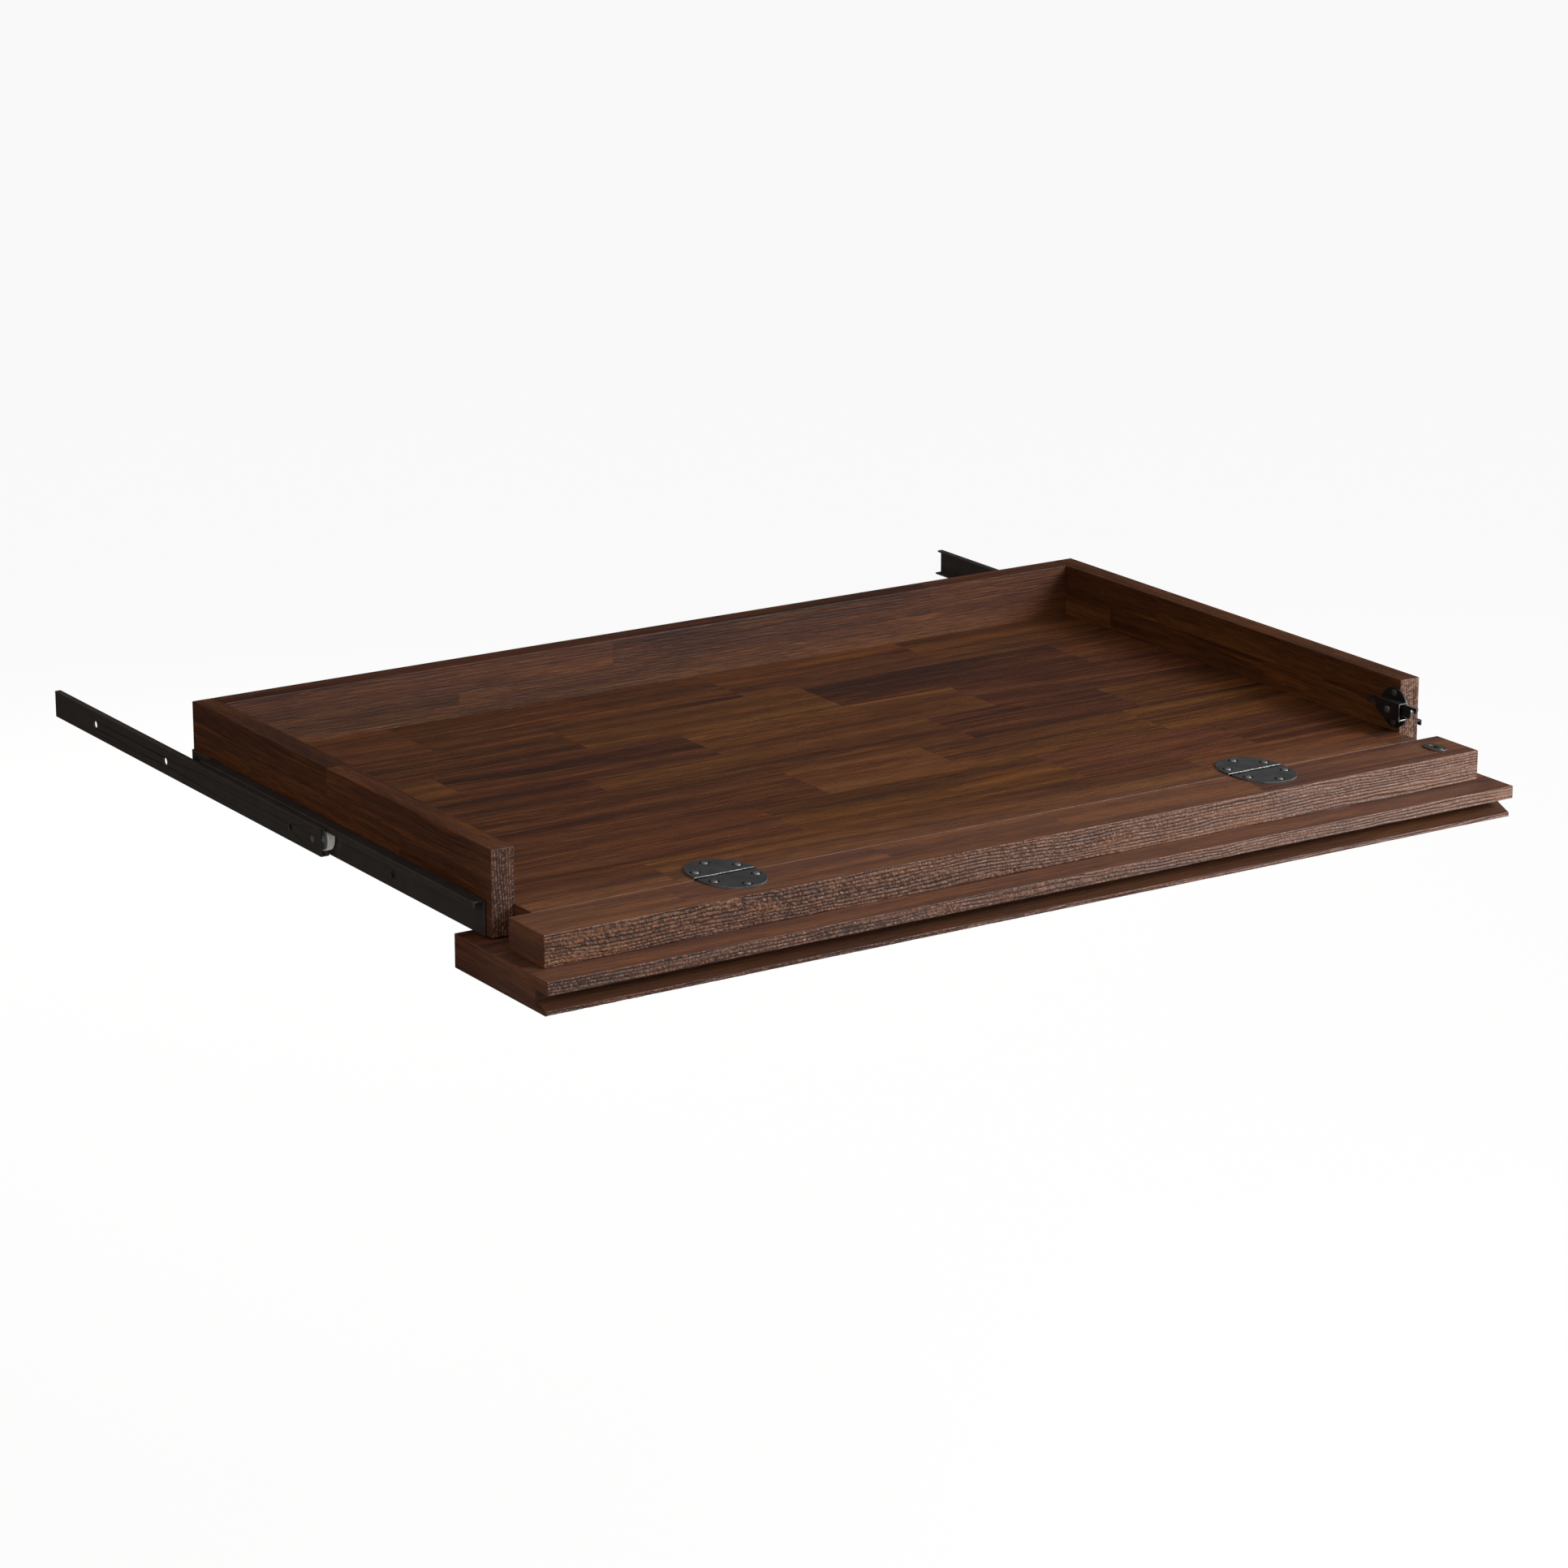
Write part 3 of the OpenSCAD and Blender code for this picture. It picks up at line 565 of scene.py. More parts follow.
# ---------------------------------------------------------------- materials
class Shader:
    """Small helper to lay out shader nodes."""

    def __init__(self, name):
        self.material = bpy.data.materials.new(name)
        self.material.use_nodes = True
        self.tree = self.material.node_tree
        self.tree.nodes.clear()
        self.out = self.node("ShaderNodeOutputMaterial")
        self.bsdf = self.node("ShaderNodeBsdfPrincipled")
        self.put(self.out.inputs[0], self.bsdf.outputs[0])

    def node(self, kind, inputs=(), **props):
        """Adds a node and fills its first inputs, skipping those given as None."""
        made = self.tree.nodes.new(kind)
        for key, value in props.items():
            setattr(made, key, value)
        for i, value in enumerate(inputs):
            self.put(made.inputs[i], value)
        return made

    def put(self, socket, value):
        if isinstance(value, bpy.types.NodeSocket):
            self.tree.links.new(value, socket)
        elif value is not None:
            if isinstance(value, tuple) and len(value) == 3 and len(socket.default_value) == 4:
                value = (*value, 1)
            socket.default_value = value

    def math(self, operation, a, b=None):
        return self.node("ShaderNodeMath", (a, b), operation=operation).outputs[0]

    def plus(self, a, b):
        return self.math("ADD", a, b)

    def minus(self, a, b):
        return self.math("SUBTRACT", a, b)

    def times(self, a, b):
        return self.math("MULTIPLY", a, b)

    def vec(self, coords, sizes=None):
        """A vector of three coordinates, each divided by its size if sizes are given."""
        if sizes:
            coords = [self.math("DIVIDE", c, size) for c, size in zip(coords, sizes)]
        return self.node("ShaderNodeCombineXYZ", coords).outputs[0]

    def split(self, vector):
        return self.node("ShaderNodeSeparateXYZ", (vector,)).outputs

    def noise(self, vector, scale=1.0, detail=2.0, rough=0.5, distortion=0.0):
        made = self.node("ShaderNodeTexNoise")
        for key, value in (("Vector", vector), ("Scale", scale), ("Detail", detail),
                           ("Roughness", rough), ("Distortion", distortion)):
            self.put(made.inputs[key], value)
        return made.outputs["Fac"]

    def ramp(self, fac, stops):
        made = self.node("ShaderNodeValToRGB")
        elements = made.color_ramp.elements
        while len(elements) < len(stops):
            elements.new(0.5)
        for element, (position, color) in zip(elements, stops):
            element.position = position
            element.color = (*color, 1)
        self.put(made.inputs[0], fac)
        return made.outputs[0]

    def mix(self, fac, under, over, mode="MIX"):
        made = self.node("ShaderNodeMix", data_type="RGBA", blend_type=mode)
        for i, value in ((0, fac), (6, under), (7, over)):
            self.put(made.inputs[i], value)
        return made.outputs[2]

    def tint(self, color, by):
        return self.mix(1.0, color, by, "MULTIPLY")

    def remap(self, value, span, to=(0.0, 1.0)):
        return self.node("ShaderNodeMapRange", (value, *span, *to)).outputs[0]

    def attr(self, name):
        return self.node("ShaderNodeAttribute", attribute_name=name).outputs["Fac"]

    def normal(self):
        return self.split(self.node("ShaderNodeNewGeometry").outputs["True Normal"])

    def bump(self, height, strength, distance, normal=None):
        made = self.node("ShaderNodeBump")
        for key, value in (("Height", height), ("Strength", strength), ("Distance", distance),
                           ("Normal", normal)):
            self.put(made.inputs[key], value)
        return made.outputs[0]

    def coords(self):
        """Object coordinates in mm."""
        xyz = self.split(self.node("ShaderNodeTexCoord").outputs["Object"])
        return [self.times(xyz[i], MM) for i in range(3)]

    def set(self, **inputs):
        for key, value in inputs.items():
            self.put(self.bsdf.inputs[key.replace("_", " ")], value)


# Stain colours and the colours of painted highlight, sheen and shade, linear RGB
WOOD_RAMP = [
    (0.34, (0.022, 0.0072, 0.0036)),
    (0.42, (0.041, 0.0132, 0.0052)),
    (0.49, (0.064, 0.0212, 0.0075)),
    (0.55, (0.088, 0.0310, 0.0098)),
    (0.62, (0.117, 0.0445, 0.0136)),
    (0.72, (0.150, 0.0630, 0.0225)),
]
GOLD_TINT, ROSE_TINT = (1.10, 1.12, 0.72), (1.04, 0.90, 1.16)
FIBRE_TINTS = [(0.30, (0.76, 0.74, 0.72)), (0.50, (1.0, 1.0, 1.0)), (0.72, (1.20, 1.19, 1.17))]
COMB_TINTS = [(0.34, (0.72, 0.71, 0.70)), (0.48, (0.99, 0.99, 0.99)), (0.64, (1.26, 1.27, 1.28))]
PORE, GLUE = (0.014, 0.006, 0.0045), (0.016, 0.007, 0.005)
# the second colour is painted shade for the valleys of brushed faces
LINE_STAIN, VALLEY_SHADE = (0.022, 0.0088, 0.0055), (0.019, 0.0076, 0.0046)
# painted shade for the panel's groove
GROOVE_SHADE = (0.034, 0.0125, 0.0035)
# painted sheen, a pale veil for the front of the hinge line
PAINTED_SHEEN = (0.34, 0.26, 0.24)
# painted highlights for the tops of brushed ridges, paler and pinker towards +x
HIGHLIGHT_LOW_X, HIGHLIGHT_HIGH_X = (0.32, 0.166, 0.106), (0.315, 0.212, 0.170)
# Streaks: length, width, detail, roughness, offset, noise span, greatest share, colour
PATCHES = [
    (110.0, 5.0, 2.0, 0.5, 1300.0, (0.57, 0.72), 0.8, (0.140, 0.042, 0.0080)),  # orange fire
    (140.0, 4.0, 2.0, 0.5, 2100.0, (0.60, 0.74), 0.55, (0.104, 0.047, 0.0100)),  # olive
    (150.0, 3.0, 3.0, 0.6, 700.0, (0.60, 0.76), 0.5, (0.036, 0.0185, 0.0135)),  # grey mineral
]
# The part of the panel's groove that takes painted shade, in object mm
HINGE_Y_MM, TOP_Z_MM = HINGE_Y * MM, TOP_Z * MM
SHADE_REAR = HINGE_Y_MM + (front_y + 13.0)
SHADE_LOW = TOP_Z_MM + (top_z - 17.0)
SHADE_HIGH = TOP_Z_MM + (top_z - 7.7)


def wood(name, run):
    """Stained laminated acacia with fibres along axis run. End faces take turned grain."""
    mat = Shader(name)
    xyz = mat.coords()
    on_end = mat.remap(mat.math("ABSOLUTE", mat.normal()[run]), span=(0.70, 0.74))
    seed, tone, warm = mat.attr("seed"), mat.attr("tone"), mat.attr("warm")
    relief, is_brushed, glue = mat.attr("relief"), mat.attr("brushed"), mat.attr("glue")

    def grain_axis(i, seed_shift):
        here, turned = xyz[(run + i) % 3], xyz[(run + i + 1) % 3]
        place = mat.plus(here, mat.times(on_end, mat.minus(turned, here)))
        return mat.plus(place, mat.times(seed, seed_shift))

    along, across, through = grain_axis(0, 877.0), grain_axis(1, 311.0), grain_axis(2, 173.0)
    # the fibre drifts a little across the strip
    drift = mat.noise(mat.vec((along, across, through), sizes=(190.0, 60.0, 60.0)), detail=1.0)
    drifted = mat.plus(across, mat.times(drift, 16.0))

    def streak(length, width, offset=0.0, **noise):
        place = (mat.plus(along, offset), drifted, through)
        return mat.noise(mat.vec(place, sizes=(length, width, width)), **noise)

    broad = streak(260.0, 13.0, distortion=0.3)
    mid = streak(150.0, 3.6, offset=400.0, detail=3.0, rough=0.55, distortion=0.15)
    fine = streak(36.0, 0.75, offset=90.0, detail=3.0, rough=0.6)
    pore = streak(7.0, 0.30, offset=15.0)
    comb = streak(18.0, 1.25, offset=55.0, rough=0.6)
    # shares of the noises and of the strip's tone in the base colour
    shade = mat.plus(mat.times(broad, 0.46), mat.times(mid, 0.17))
    shade = mat.plus(mat.plus(shade, 0.185), mat.times(tone, 0.095))
    col = mat.ramp(shade, WOOD_RAMP)
    gold, rose = mat.tint(col, GOLD_TINT), mat.tint(col, ROSE_TINT)
    col = mat.mix(mat.remap(warm, span=(-1, 1)), rose, gold)
    for length, width, detail, rough, offset, span, most, color in PATCHES:
        patch = streak(length, width, offset, detail=detail, rough=rough, distortion=0.4)
        col = mat.mix(mat.remap(patch, span=span, to=(0.0, most)), col, color)
    # fibre lines, pores, and glue lines between the strips
    col = mat.tint(col, mat.ramp(fine, FIBRE_TINTS))
    col = mat.tint(col, mat.ramp(comb, COMB_TINTS))
    dark = mat.remap(pore, span=(0.60, 0.72), to=(0.0, 0.55))
    col = mat.mix(dark, col, PORE)
    col = mat.mix(mat.times(glue, 0.55), col, GLUE)
    # lines left by light brushing hold the dark stain
    line = mat.remap(relief, span=(0.92, 0.1), to=(0.0, 0.62))
    col = mat.mix(mat.times(line, mat.minus(1.0, is_brushed)), col, LINE_STAIN)
    # painted sheen: a pale veil in front of the hinge line
    sheen_veil = mat.remap(xyz[1], span=(HINGE_Y_MM + 40.0, HINGE_Y_MM - 10.0), to=(0.0, 0.05))
    col = mat.mix(sheen_veil, col, PAINTED_SHEEN)
    # painted shade in the panel's groove
    groove_shade_mask = mat.times(
        mat.remap(xyz[2], span=(SHADE_LOW - 0.2, SHADE_LOW + 0.2)),
        mat.remap(xyz[2], span=(SHADE_HIGH - 0.3, SHADE_HIGH + 0.1), to=(1.0, 0.0)))
    groove_shade_mask = mat.times(groove_shade_mask, mat.remap(xyz[1], span=(SHADE_REAR, SHADE_REAR + 0.5), to=(0.62, 0.0)))
    col = mat.mix(groove_shade_mask, col, GROOVE_SHADE)
    # slanted hairs over the ridges of a brushed face
    if run == 0:
        ridge, cross = xyz[0], mat.plus(xyz[2], xyz[1])
    else:
        ridge, cross = xyz[2], xyz[0]
    slant = (mat.minus(mat.times(cross, 0.6), mat.times(ridge, 0.8)),
             mat.plus(mat.times(cross, 0.8), mat.times(ridge, 0.6)), xyz[1])
    hair = mat.noise(mat.vec(slant, sizes=(0.62, 1.9, 3.0)), rough=0.6)
    # brushed faces: painted highlights on the ridge tops, stronger towards +x, painted shade in
    # the valleys, specks of both, calmer towards +x
    speck = mat.noise(mat.vec(xyz), scale=1.15, rough=0.6)
    highlight_share = mat.remap(xyz[0], span=(-320.0, 300.0), to=(0.45, 0.86))
    calm = mat.remap(xyz[0], span=(-150.0, 300.0), to=(0.0, 0.72))

    def calmed(value, rest):
        return mat.plus(value, mat.times(calm, mat.minus(rest, value)))

    ridge_highlight = mat.times(mat.remap(relief, span=(0.55, 1.0), to=(0.0, 0.95)), is_brushed)
    speckle = mat.remap(speck, span=(0.38, 0.62), to=(0.45, 1.15))
    ridge_highlight = mat.times(mat.times(ridge_highlight, highlight_share), calmed(speckle, rest=0.85))
    hairy = mat.remap(hair, span=(0.42, 0.60), to=(0.0, 1.5))
    ridge_highlight = mat.times(ridge_highlight, calmed(hairy, rest=0.80))
    valley_shade_mask = calmed(mat.remap(relief, span=(0.76, 0.30), to=(0.0, 0.95)),
                    rest=mat.remap(relief, span=(0.62, 0.20), to=(0.0, 0.80)))
    gap_shade = calmed(mat.remap(hair, span=(0.52, 0.36), to=(0.0, 0.62)), rest=0.04)
    valley_shade_mask = mat.times(mat.plus(valley_shade_mask, gap_shade), is_brushed)
    highlight_colour = mat.mix(mat.remap(xyz[0], span=(-320.0, 200.0)), HIGHLIGHT_LOW_X, HIGHLIGHT_HIGH_X)
    # painted highlight on the ridge tops of brushed faces
    col = mat.mix(ridge_highlight, col, highlight_colour)
    # painted shade in the valleys of brushed faces
    col = mat.mix(valley_shade_mask, col, VALLEY_SHADE)
    # brushed faces are glossier
    rough = mat.remap(fine, span=(0.3, 0.7), to=(0.52, 0.42))
    mat.set(Base_Color=col, Roughness=mat.minus(rough, mat.times(is_brushed, 0.10)),
            Specular_IOR_Level=mat.plus(0.22, mat.times(is_brushed, 0.14)))
    # fine fibre on every face, and the hairs on the brushed ones
    height = mat.plus(mat.times(fine, 1.1), mat.times(mid, 0.6))
    height = mat.minus(height, mat.times(dark, 0.9))
    height = mat.plus(height, mat.times(comb, 1.4))
    fibre = mat.bump(height, strength=0.6, distance=0.00026)
    hair_strength = mat.times(is_brushed, mat.minus(1.0, mat.times(calm, 0.35)))
    mat.set(Normal=mat.bump(hair, strength=hair_strength, distance=0.0005, normal=fibre))
    return mat.material


def metal(name, base, metallic, rough, grain=0.35, scale=1.0, spec=0.5, cut=(0.5, 0.5, 0.5),
          bevel_highlight=0.0):
    """Painted or plated metal: orange-peel, cloudy sheen, bare cut edges with painted highlights,
    painted highlights on the bevels and painted shade in recesses.
    """
    mat = Shader(name)

    def brighter(gain, lift=0.0):
        return tuple(min(1, x * gain + lift) for x in base)

    def times_open(value):
        """Fades a value out where shade is painted in the recesses."""
        return mat.times(value, mat.minus(1.0, mat.attr("recess")))

    place = mat.vec(mat.coords())
    fine = mat.noise(place, scale=5.5 * scale, rough=0.6)
    cloud = mat.noise(place, scale=0.11 * scale, detail=3.0, rough=0.55)
    speck = mat.noise(place, scale=1.7 * scale)
    col = mat.mix(mat.remap(cloud, span=(0.35, 0.68)), brighter(gain=0.86), brighter(gain=1.16))
    speckle = mat.remap(speck, span=(0.66, 0.76), to=(0.0, 0.22))
    col = mat.mix(speckle, col, brighter(gain=1.9))
    if bevel_highlight > 0:
        # painted highlight on bevelled edges, where the true normal lies between flat and upright
        x, y, z = [mat.math("ABSOLUTE", part) for part in mat.normal()]
        largest = mat.math("MAXIMUM", mat.math("MAXIMUM", x, y), z)
        turn = mat.remap(largest, span=(0.995, 0.93), to=(0.0, bevel_highlight))
        patchy = mat.noise(place, scale=0.5, detail=3.0, rough=0.6)
        turn = mat.times(turn, mat.remap(patchy, span=(0.35, 0.6), to=(0.35, 1.0)))
        col = mat.mix(turn, col, brighter(gain=4.5, lift=0.02))
    # bare cut edges, painted bright as highlights as well
    bare_and_lit_edge = mat.attr("cut")
    col = mat.mix(bare_and_lit_edge, col, cut)
    # painted shade: the recesses turn near black
    col = mat.mix(mat.attr("recess"), col, (0.004, 0.004, 0.004))
    shine = mat.plus(metallic, mat.times(bare_and_lit_edge, 0.85 - metallic))
    mat.set(Base_Color=col, Metallic=times_open(shine))
    sheen = mat.plus(mat.remap(cloud, span=(0.3, 0.7), to=(rough - 0.06, rough + 0.06)),
                     mat.times(mat.minus(fine, 0.5), 0.10))
    mat.set(Roughness=mat.plus(sheen, mat.times(mat.attr("recess"), 0.4)),
            Specular_IOR_Level=times_open(spec),
            Normal=mat.bump(fine, strength=grain, distance=0.00003))
    return mat.material


def nylon(name):
    mat = Shader(name)
    place = mat.vec(mat.coords())
    cloud = mat.noise(place, scale=0.35, detail=3.0)
    color = mat.mix(mat.remap(cloud, span=(0.35, 0.65)), (0.66, 0.645, 0.60), (0.76, 0.75, 0.71))
    mat.set(Base_Color=color,
            Roughness=mat.remap(cloud, span=(0.3, 0.7), to=(0.38, 0.5)),
            Subsurface_Weight=0.12, Subsurface_Radius=(0.0012, 0.0012, 0.0011),
            Normal=mat.bump(mat.noise(place, scale=3.0), strength=0.25, distance=0.00003))
    return mat.material


def beech(name):
    mat = Shader(name)
    fibre = mat.noise(mat.vec(mat.coords(), sizes=(9.0, 0.9, 0.9)), detail=4.0, rough=0.6)
    stops = [(0.3, (0.36, 0.21, 0.11)), (0.55, (0.52, 0.34, 0.19)), (0.75, (0.60, 0.42, 0.25))]
    mat.set(Base_Color=mat.ramp(fibre, stops), Roughness=0.62,
            Normal=mat.bump(fibre, strength=0.4, distance=0.00008))
    return mat.material


WOOD_X = wood("acacia_cross", run=0)
WOOD_Y = wood("acacia_depth", run=1)
MATERIALS = {
    "hinge_steel": metal("hinge_charcoal", base=(0.036, 0.0362, 0.037), metallic=0.15, rough=0.50,
                         grain=0.3, spec=0.4, cut=(0.36, 0.36, 0.36), bevel_highlight=0.55),
    "hinge_screw": metal("hinge_screw_dark", base=(0.20, 0.20, 0.20), metallic=0.7, rough=0.34,
                         grain=0.2),
    "latch_black": metal("latch_black_paint", base=(0.0085, 0.0083, 0.0085), metallic=0.05,
                         rough=0.42, spec=0.4, cut=(0.27, 0.265, 0.26), bevel_highlight=0.3),
    "latch_screw": metal("latch_screw_dark", base=(0.10, 0.105, 0.11), metallic=0.6, rough=0.34,
                         grain=0.15),
    "spring_wire": metal("spring_wire_bright", base=(0.55, 0.55, 0.56), metallic=0.95, rough=0.26,
                         grain=0.1),
    "strike_bronze": metal("strike_bronze_grey", base=(0.056, 0.048, 0.043), metallic=0.45,
                           rough=0.44, grain=0.25, bevel_highlight=0.35),
    # the rail's base is lifted and warmed as a painted reflection of the wood beside it
    "rail_black": metal("rail_powder_black", base=(0.026, 0.0215, 0.0185), metallic=0.0,
                        rough=0.52, grain=0.55, scale=0.7, spec=0.32, cut=(0.05, 0.05, 0.05),
                        bevel_highlight=0.25),
    "rail_screw": metal("rail_screw_black", base=(0.020, 0.020, 0.021), metallic=0.5, rough=0.42,
                        grain=0.2),
    "axle_zinc": metal("axle_zinc_plate", base=(0.50, 0.51, 0.52), metallic=0.95, rough=0.32,
                       grain=0.15),
    "roller_nylon": nylon("roller_nylon_natural"),
    "dowel_wood": beech("dowel_beech"),
}
for ob in (floor, back, batten, panel, left, right):
    ob.data.materials.clear()
    ob.data.materials.append(WOOD_Y if ob in (left, right) else WOOD_X)

# ---------------------------------------------------------------- hardware
SLOT = {s["node"]: s["material_slot"] for s in frame["record"]["subparts"]}
# Bevel widths, mm
BEVEL = {"latch_housing": 0.2, "latch_lever": 0.18, "latch_plate": 0.22, "strike_plate": 0.2}
for hand in ("left", "right"):
    BEVEL.update({f"{hand}_drawer_rail": 0.3, f"{hand}_cabinet_rail": 0.3,
                  f"{hand}_hinge_rear_leaf": 0.2, f"{hand}_hinge_front_leaf": 0.2})
# Hinge screws, from the middle of each hinge; each is mirrored over the hinge line
SCREW_OFFSETS = ((0, 22.2), (-13.7, 9.7), (13.7, 9.7))
screws = np.array([(hinge + dx, side * dy)
                   for hinge in HINGE_X for dx, dy in SCREW_OFFSETS for side in (1, -1)])


def marks(node, centres, normals):
    """How far each face is bare cut metal with a painted highlight, and how far it takes painted
    shade in a recess.
    """
    x, y, z = centres.T
    cut, recess = np.zeros(len(x)), np.zeros(len(x))
    front_edge = (normals[:, 1] < -0.9) & (y < y.min() + 0.3)
    if node == "latch_housing":
        cut[front_edge] = 1
        inside = (np.abs(normals[:, 1]) < 0.5) & (x > x.min() + 0.5)
        # painted shade inside the housing
        recess[inside & (z > 9.9) & (z < 20.1)] = 0.8
    elif node == "latch_lever":
        cut[(np.abs(normals[:, 0]) < 0.3) & (y < 10)] = 0.55
    elif node.endswith("_leaf"):
        rear = "rear" in node
        if rear:
            # painted highlight along the rear leaf's front edge at the seam
            at_edge = (normals[:, 1] < -0.9) & (np.abs(y - 1.45) < 0.1)
            cut[at_edge & (z > LEAF_T * 0.3)] = 1
        distance = np.min(np.hypot(x[:, None] - screws[:, 0], y[:, None] - screws[:, 1]), 1)
        # painted shade in the countersinks round the screws and in the gap along the hinge line
        recess[(distance < 3.06) & (z > 0.02) & (z < LEAF_T - 0.02)] = 1
        recess[(y if rear else -y) < 1.44] = 1
    elif node.endswith("_rail"):
        cut[front_edge] = 1
    return cut, recess


def ease_edges(ob, node):
    """Marks the faces of a hardware node, then bevels its edges."""
    me = ob.data
    centres = np.array([p.center for p in me.polygons])
    normals = np.array([p.normal for p in me.polygons])
    values = marks(node, (centres - ORIGIN) * MM, normals)
    for key, value in zip(("cut", "recess"), values):
        layer = me.attributes.new(key, "FLOAT", "FACE")
        layer.data.foreach_set("value", value.astype(np.float32))
    weld = ob.modifiers.new("weld", "WELD")
    weld.merge_threshold = 2e-6
    bevel = ob.modifiers.new("ease", "BEVEL")
    bevel.width = BEVEL[node] / MM
    bevel.segments = 2
    bevel.limit_method = "ANGLE"
    bevel.angle_limit = math.radians(38)
    ob.modifiers.new("normals", "WEIGHTED_NORMAL").keep_sharp = True


for node, ob in NODES.items():
    if ob.hide_render:
        continue
    material = MATERIALS[SLOT[node]]
    if ob.material_slots:
        for slot in ob.material_slots:
            slot.material = material
    else:
        ob.data.materials.append(material)
    if node in BEVEL:
        ease_edges(ob, node)

# ---------------------------------------------------------------- ground
scene = bpy.context.scene
scene.view_settings.view_transform = "Standard"
scene.view_settings.look = "None"
GROUND_HALF, GROUND_Z = 40.0, -0.60  # metres


def ground_material():
    mat = Shader("pale_floor")
    xyz = mat.coords()
    cloud = mat.noise(mat.vec(xyz), scale=0.004, detail=3.0)
    mat.set(Base_Color=mat.mix(cloud, (0.93, 0.93, 0.93), (0.95, 0.95, 0.95)), Roughness=0.9,
            Specular_IOR_Level=0.05)

    def emission(strength):
        return mat.node("ShaderNodeEmission", ((1, 1, 1, 1), strength)).outputs[0]

    def blend(fac, first, second):
        return mat.node("ShaderNodeMixShader", (fac, first, second)).outputs[0]

    glowing = blend(0.92, mat.bsdf.outputs[0], emission(strength=1.0))
    # other surfaces see a dimmer floor than the camera does
    depth = mat.plus(xyz[1], mat.times(xyz[0], -0.35))
    dim = emission(strength=mat.remap(depth, span=(-900.0, 500.0), to=(0.42, 0.07)))
    seen = mat.node("ShaderNodeLightPath").outputs["Is Camera Ray"]
    above = blend(seen, dim, glowing)
    # seen from below, the floor is clear
    from_below = mat.node("ShaderNodeNewGeometry").outputs["Backfacing"]
    clear = mat.node("ShaderNodeBsdfTransparent").outputs[0]
    mat.put(mat.out.inputs[0], blend(from_below, above, clear))
    return mat.material


ground_mat = ground_material()
me = bpy.data.meshes.new("pale_floor")
me.from_pydata([(x * GROUND_HALF, y * GROUND_HALF, GROUND_Z)
                for x, y in ((-1, -1), (1, -1), (1, 1), (-1, 1))], [], [(0, 1, 2, 3)])
ground = bpy.data.objects.new("pale_floor", me)
me.materials.append(ground_mat)
scene.collection.objects.link(ground)

# ---------------------------------------------------------------- world
# brighter towards the front right and above, dim behind
BRIGHT_SIDE = Vector((0.50, -0.72, 0.48)).normalized()
SKY_RAMP = (-0.20, 0.95, 0.035, 0.62)  # cosine from and to, strength from and to
CAMERA_SKY = 0.96  # strength the camera sees
world = bpy.data.worlds.new("studio")
scene.world = world
world.use_nodes = True
nodes, links = world.node_tree.nodes, world.node_tree.links
background = nodes["Background"]
coords = nodes.new("ShaderNodeTexCoord")
dot = nodes.new("ShaderNodeVectorMath")
dot.operation = "DOT_PRODUCT"
dot.inputs[1].default_value = BRIGHT_SIDE
links.new(coords.outputs["Generated"], dot.inputs[0])
sky = nodes.new("ShaderNodeMapRange")
sky.interpolation_type = "SMOOTHSTEP"
for i, value in enumerate(SKY_RAMP):
    sky.inputs[i + 1].default_value = value
links.new(dot.outputs["Value"], sky.inputs[0])
path = nodes.new("ShaderNodeLightPath")
seen = nodes.new("ShaderNodeMapRange")
links.new(path.outputs["Is Camera Ray"], seen.inputs[0])
links.new(sky.outputs[0], seen.inputs[3])
seen.inputs[4].default_value = CAMERA_SKY
links.new(seen.outputs[0], background.inputs[1])
background.inputs[0].default_value = (1, 1, 1, 1)

# ---------------------------------------------------------------- lights
CENTRE = Vector((0, HINGE_Y + 0.10, TOP_Z))


def area(name, toward, distance, size, power, color=(1, 1, 1), aim=CENTRE, hidden=False):
    """An area light set off from aim in direction toward. Hidden ones make no reflections."""
    direction = Vector(toward).normalized()
    light = bpy.data.lights.new(name, "AREA")
    light.shape = "RECTANGLE"
    light.size, light.size_y = size
    light.energy = power
    light.color = color
    ob = bpy.data.objects.new(name, light)
    ob.location = aim + direction * distance
    ob.rotation_euler = (-direction).to_track_quat("-Z", "Y").to_euler()
    scene.collection.objects.link(ob)
    if hidden:
        ob.visible_glossy = False
        ob.visible_camera = False


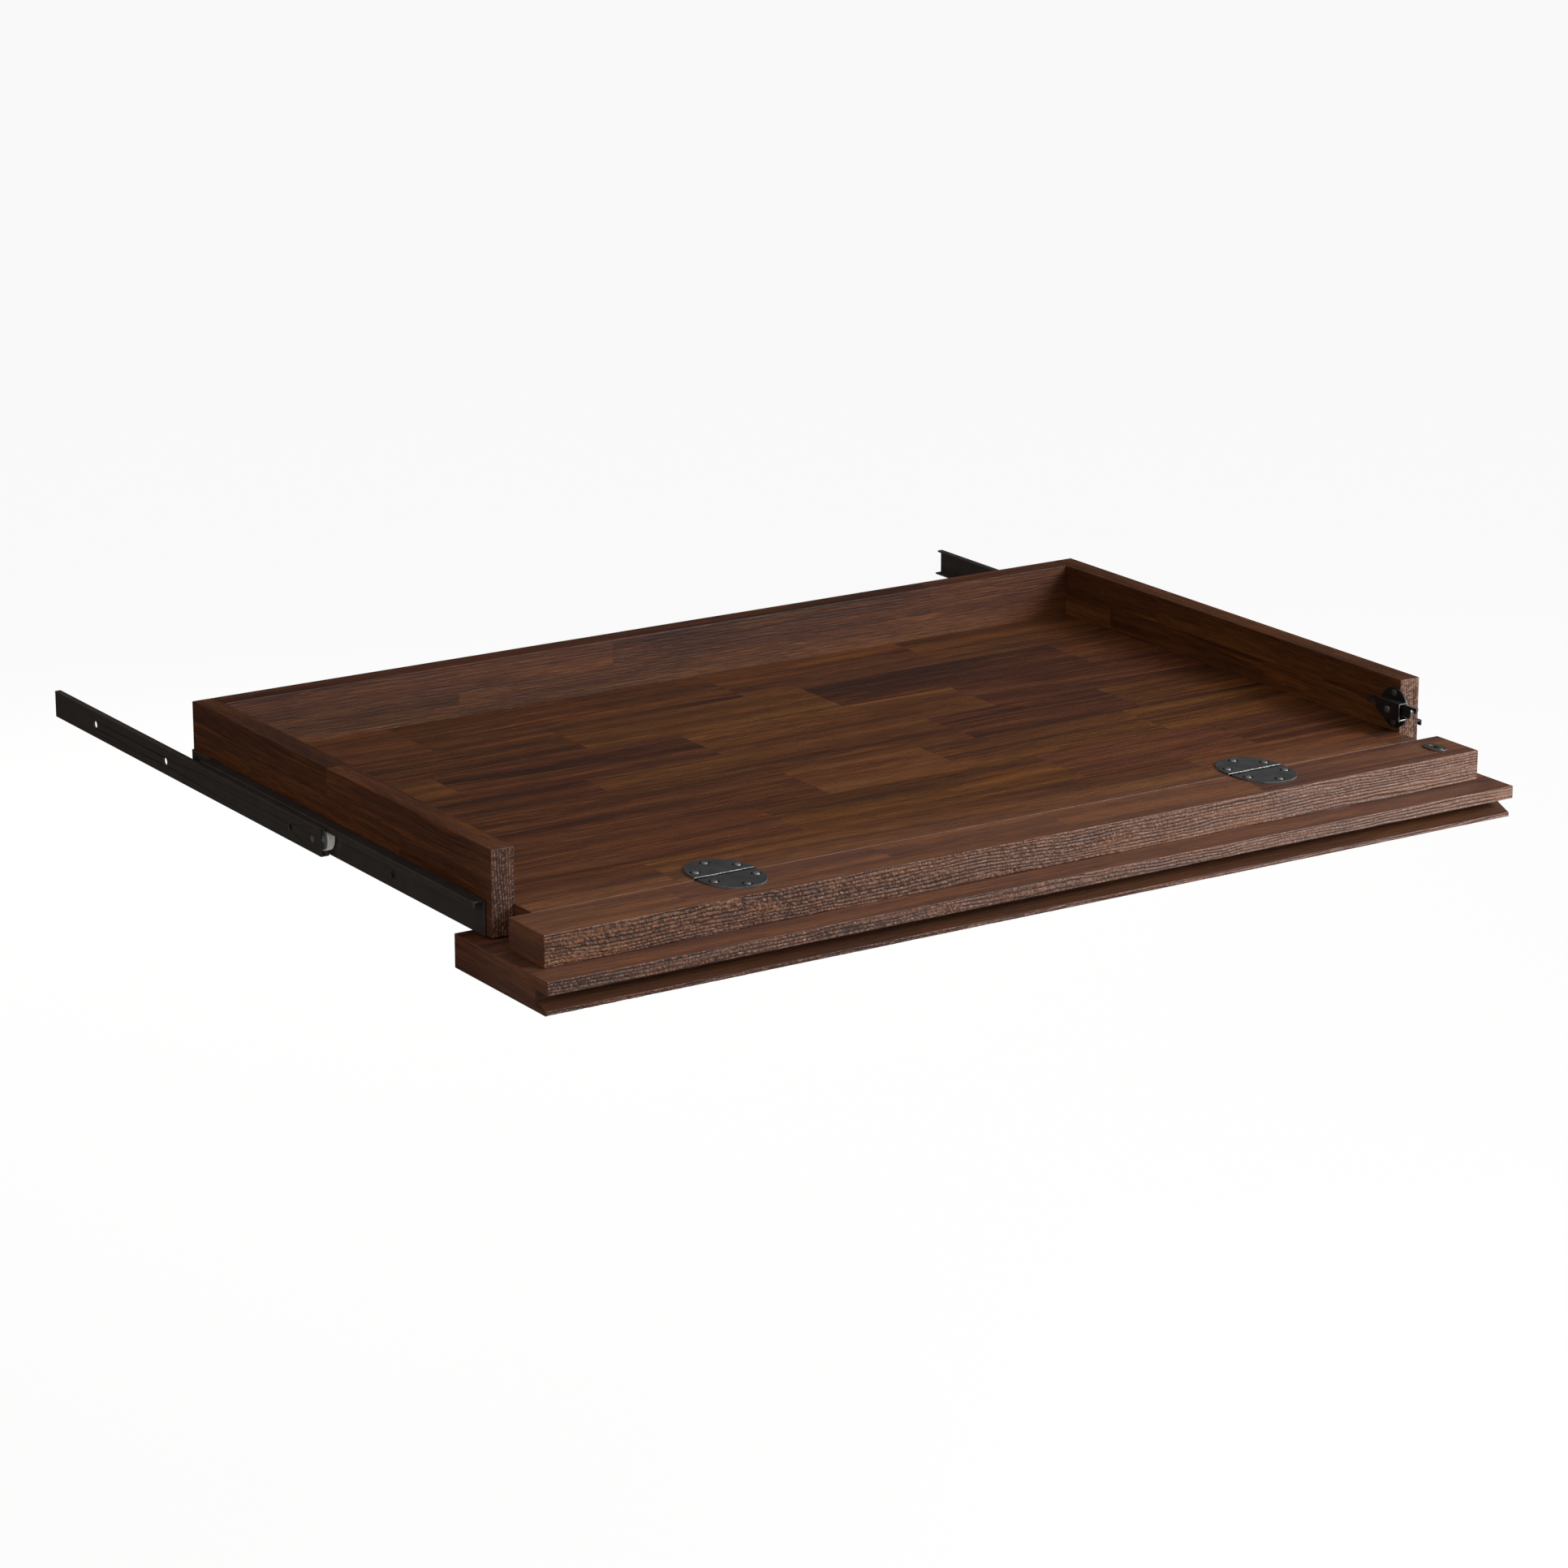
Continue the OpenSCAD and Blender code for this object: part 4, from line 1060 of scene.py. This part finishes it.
area("key", toward=(0.62, -0.86, 0.52), distance=1.55, size=(0.6, 0.6), power=35,
     aim=CENTRE + Vector((0.22, -0.1, 0)))
area("top", toward=(0.12, -0.55, 0.85), distance=2.0, size=(1.7, 1.2), power=9.9)
area("fill", toward=(-1.0, -0.30, 0.32), distance=2.5, size=(1.5, 1.2), power=23,
     color=(1.0, 0.91, 0.80), hidden=True)
area("rear", toward=(0.38, 1.0, 0.20), distance=2.6, size=(1.6, 1.0), power=24,
     color=(1.0, 0.96, 0.92), hidden=True)
area("below", toward=(0.0, 0.10, -1.0), distance=0.56, size=(0.9, 0.7), power=2.6,
     color=(1.0, 0.97, 0.93), aim=CENTRE + Vector((0, 0.04, 0)), hidden=True)

# ---------------------------------------------------------------- camera
# stands at a fixed place and turns on the spot until the object is in the middle
AZIMUTH, ELEVATION = math.radians(-34.526), math.radians(17.654)  # direction it starts from
EYE = Vector((-1.58287, HINGE_Y - 2.20556, TOP_Z + 0.82720))
SENSOR = 36.0
HALF_FILL = 0.465  # the object's farthest reach from the middle, as a share of the frame's width

corners = []
for node in NODES:
    low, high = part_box(node)
    corners += [Vector((x, y, z)) - EYE
                for x in (low.x, high.x) for y in (low.y, high.y) for z in (low.z, high.z)]
back_dir = Vector((math.sin(AZIMUTH) * math.cos(ELEVATION),
                   -math.cos(AZIMUTH) * math.cos(ELEVATION), math.sin(ELEVATION)))
right_dir = Vector((math.cos(AZIMUTH), math.sin(AZIMUTH), 0))
up_dir = back_dir.cross(right_dir)
for _ in range(4):
    xs = [d.dot(right_dir) / -d.dot(back_dir) for d in corners]
    ys = [d.dot(up_dir) / -d.dot(back_dir) for d in corners]
    turn = right_dir * ((max(xs) + min(xs)) / 2) + up_dir * ((max(ys) + min(ys)) / 2)
    back_dir = (back_dir - turn).normalized()
    right_dir = Vector((0, 0, 1)).cross(back_dir).normalized()
    up_dir = back_dir.cross(right_dir)
reach = max(max(abs(d.dot(right_dir)), abs(d.dot(up_dir))) / -d.dot(back_dir) for d in corners)

cam = bpy.data.cameras.new("camera")
cam.sensor_width = SENSOR
cam.sensor_fit = "HORIZONTAL"
cam.clip_start, cam.clip_end = 0.05, 200.0
cam.lens = HALF_FILL / reach * SENSOR
cam_ob = bpy.data.objects.new("camera", cam)
axes = zip(right_dir, up_dir, back_dir, EYE)
cam_ob.matrix_world = Matrix((*axes, (0, 0, 0, 1)))
scene.collection.objects.link(cam_ob)
scene.camera = cam_ob
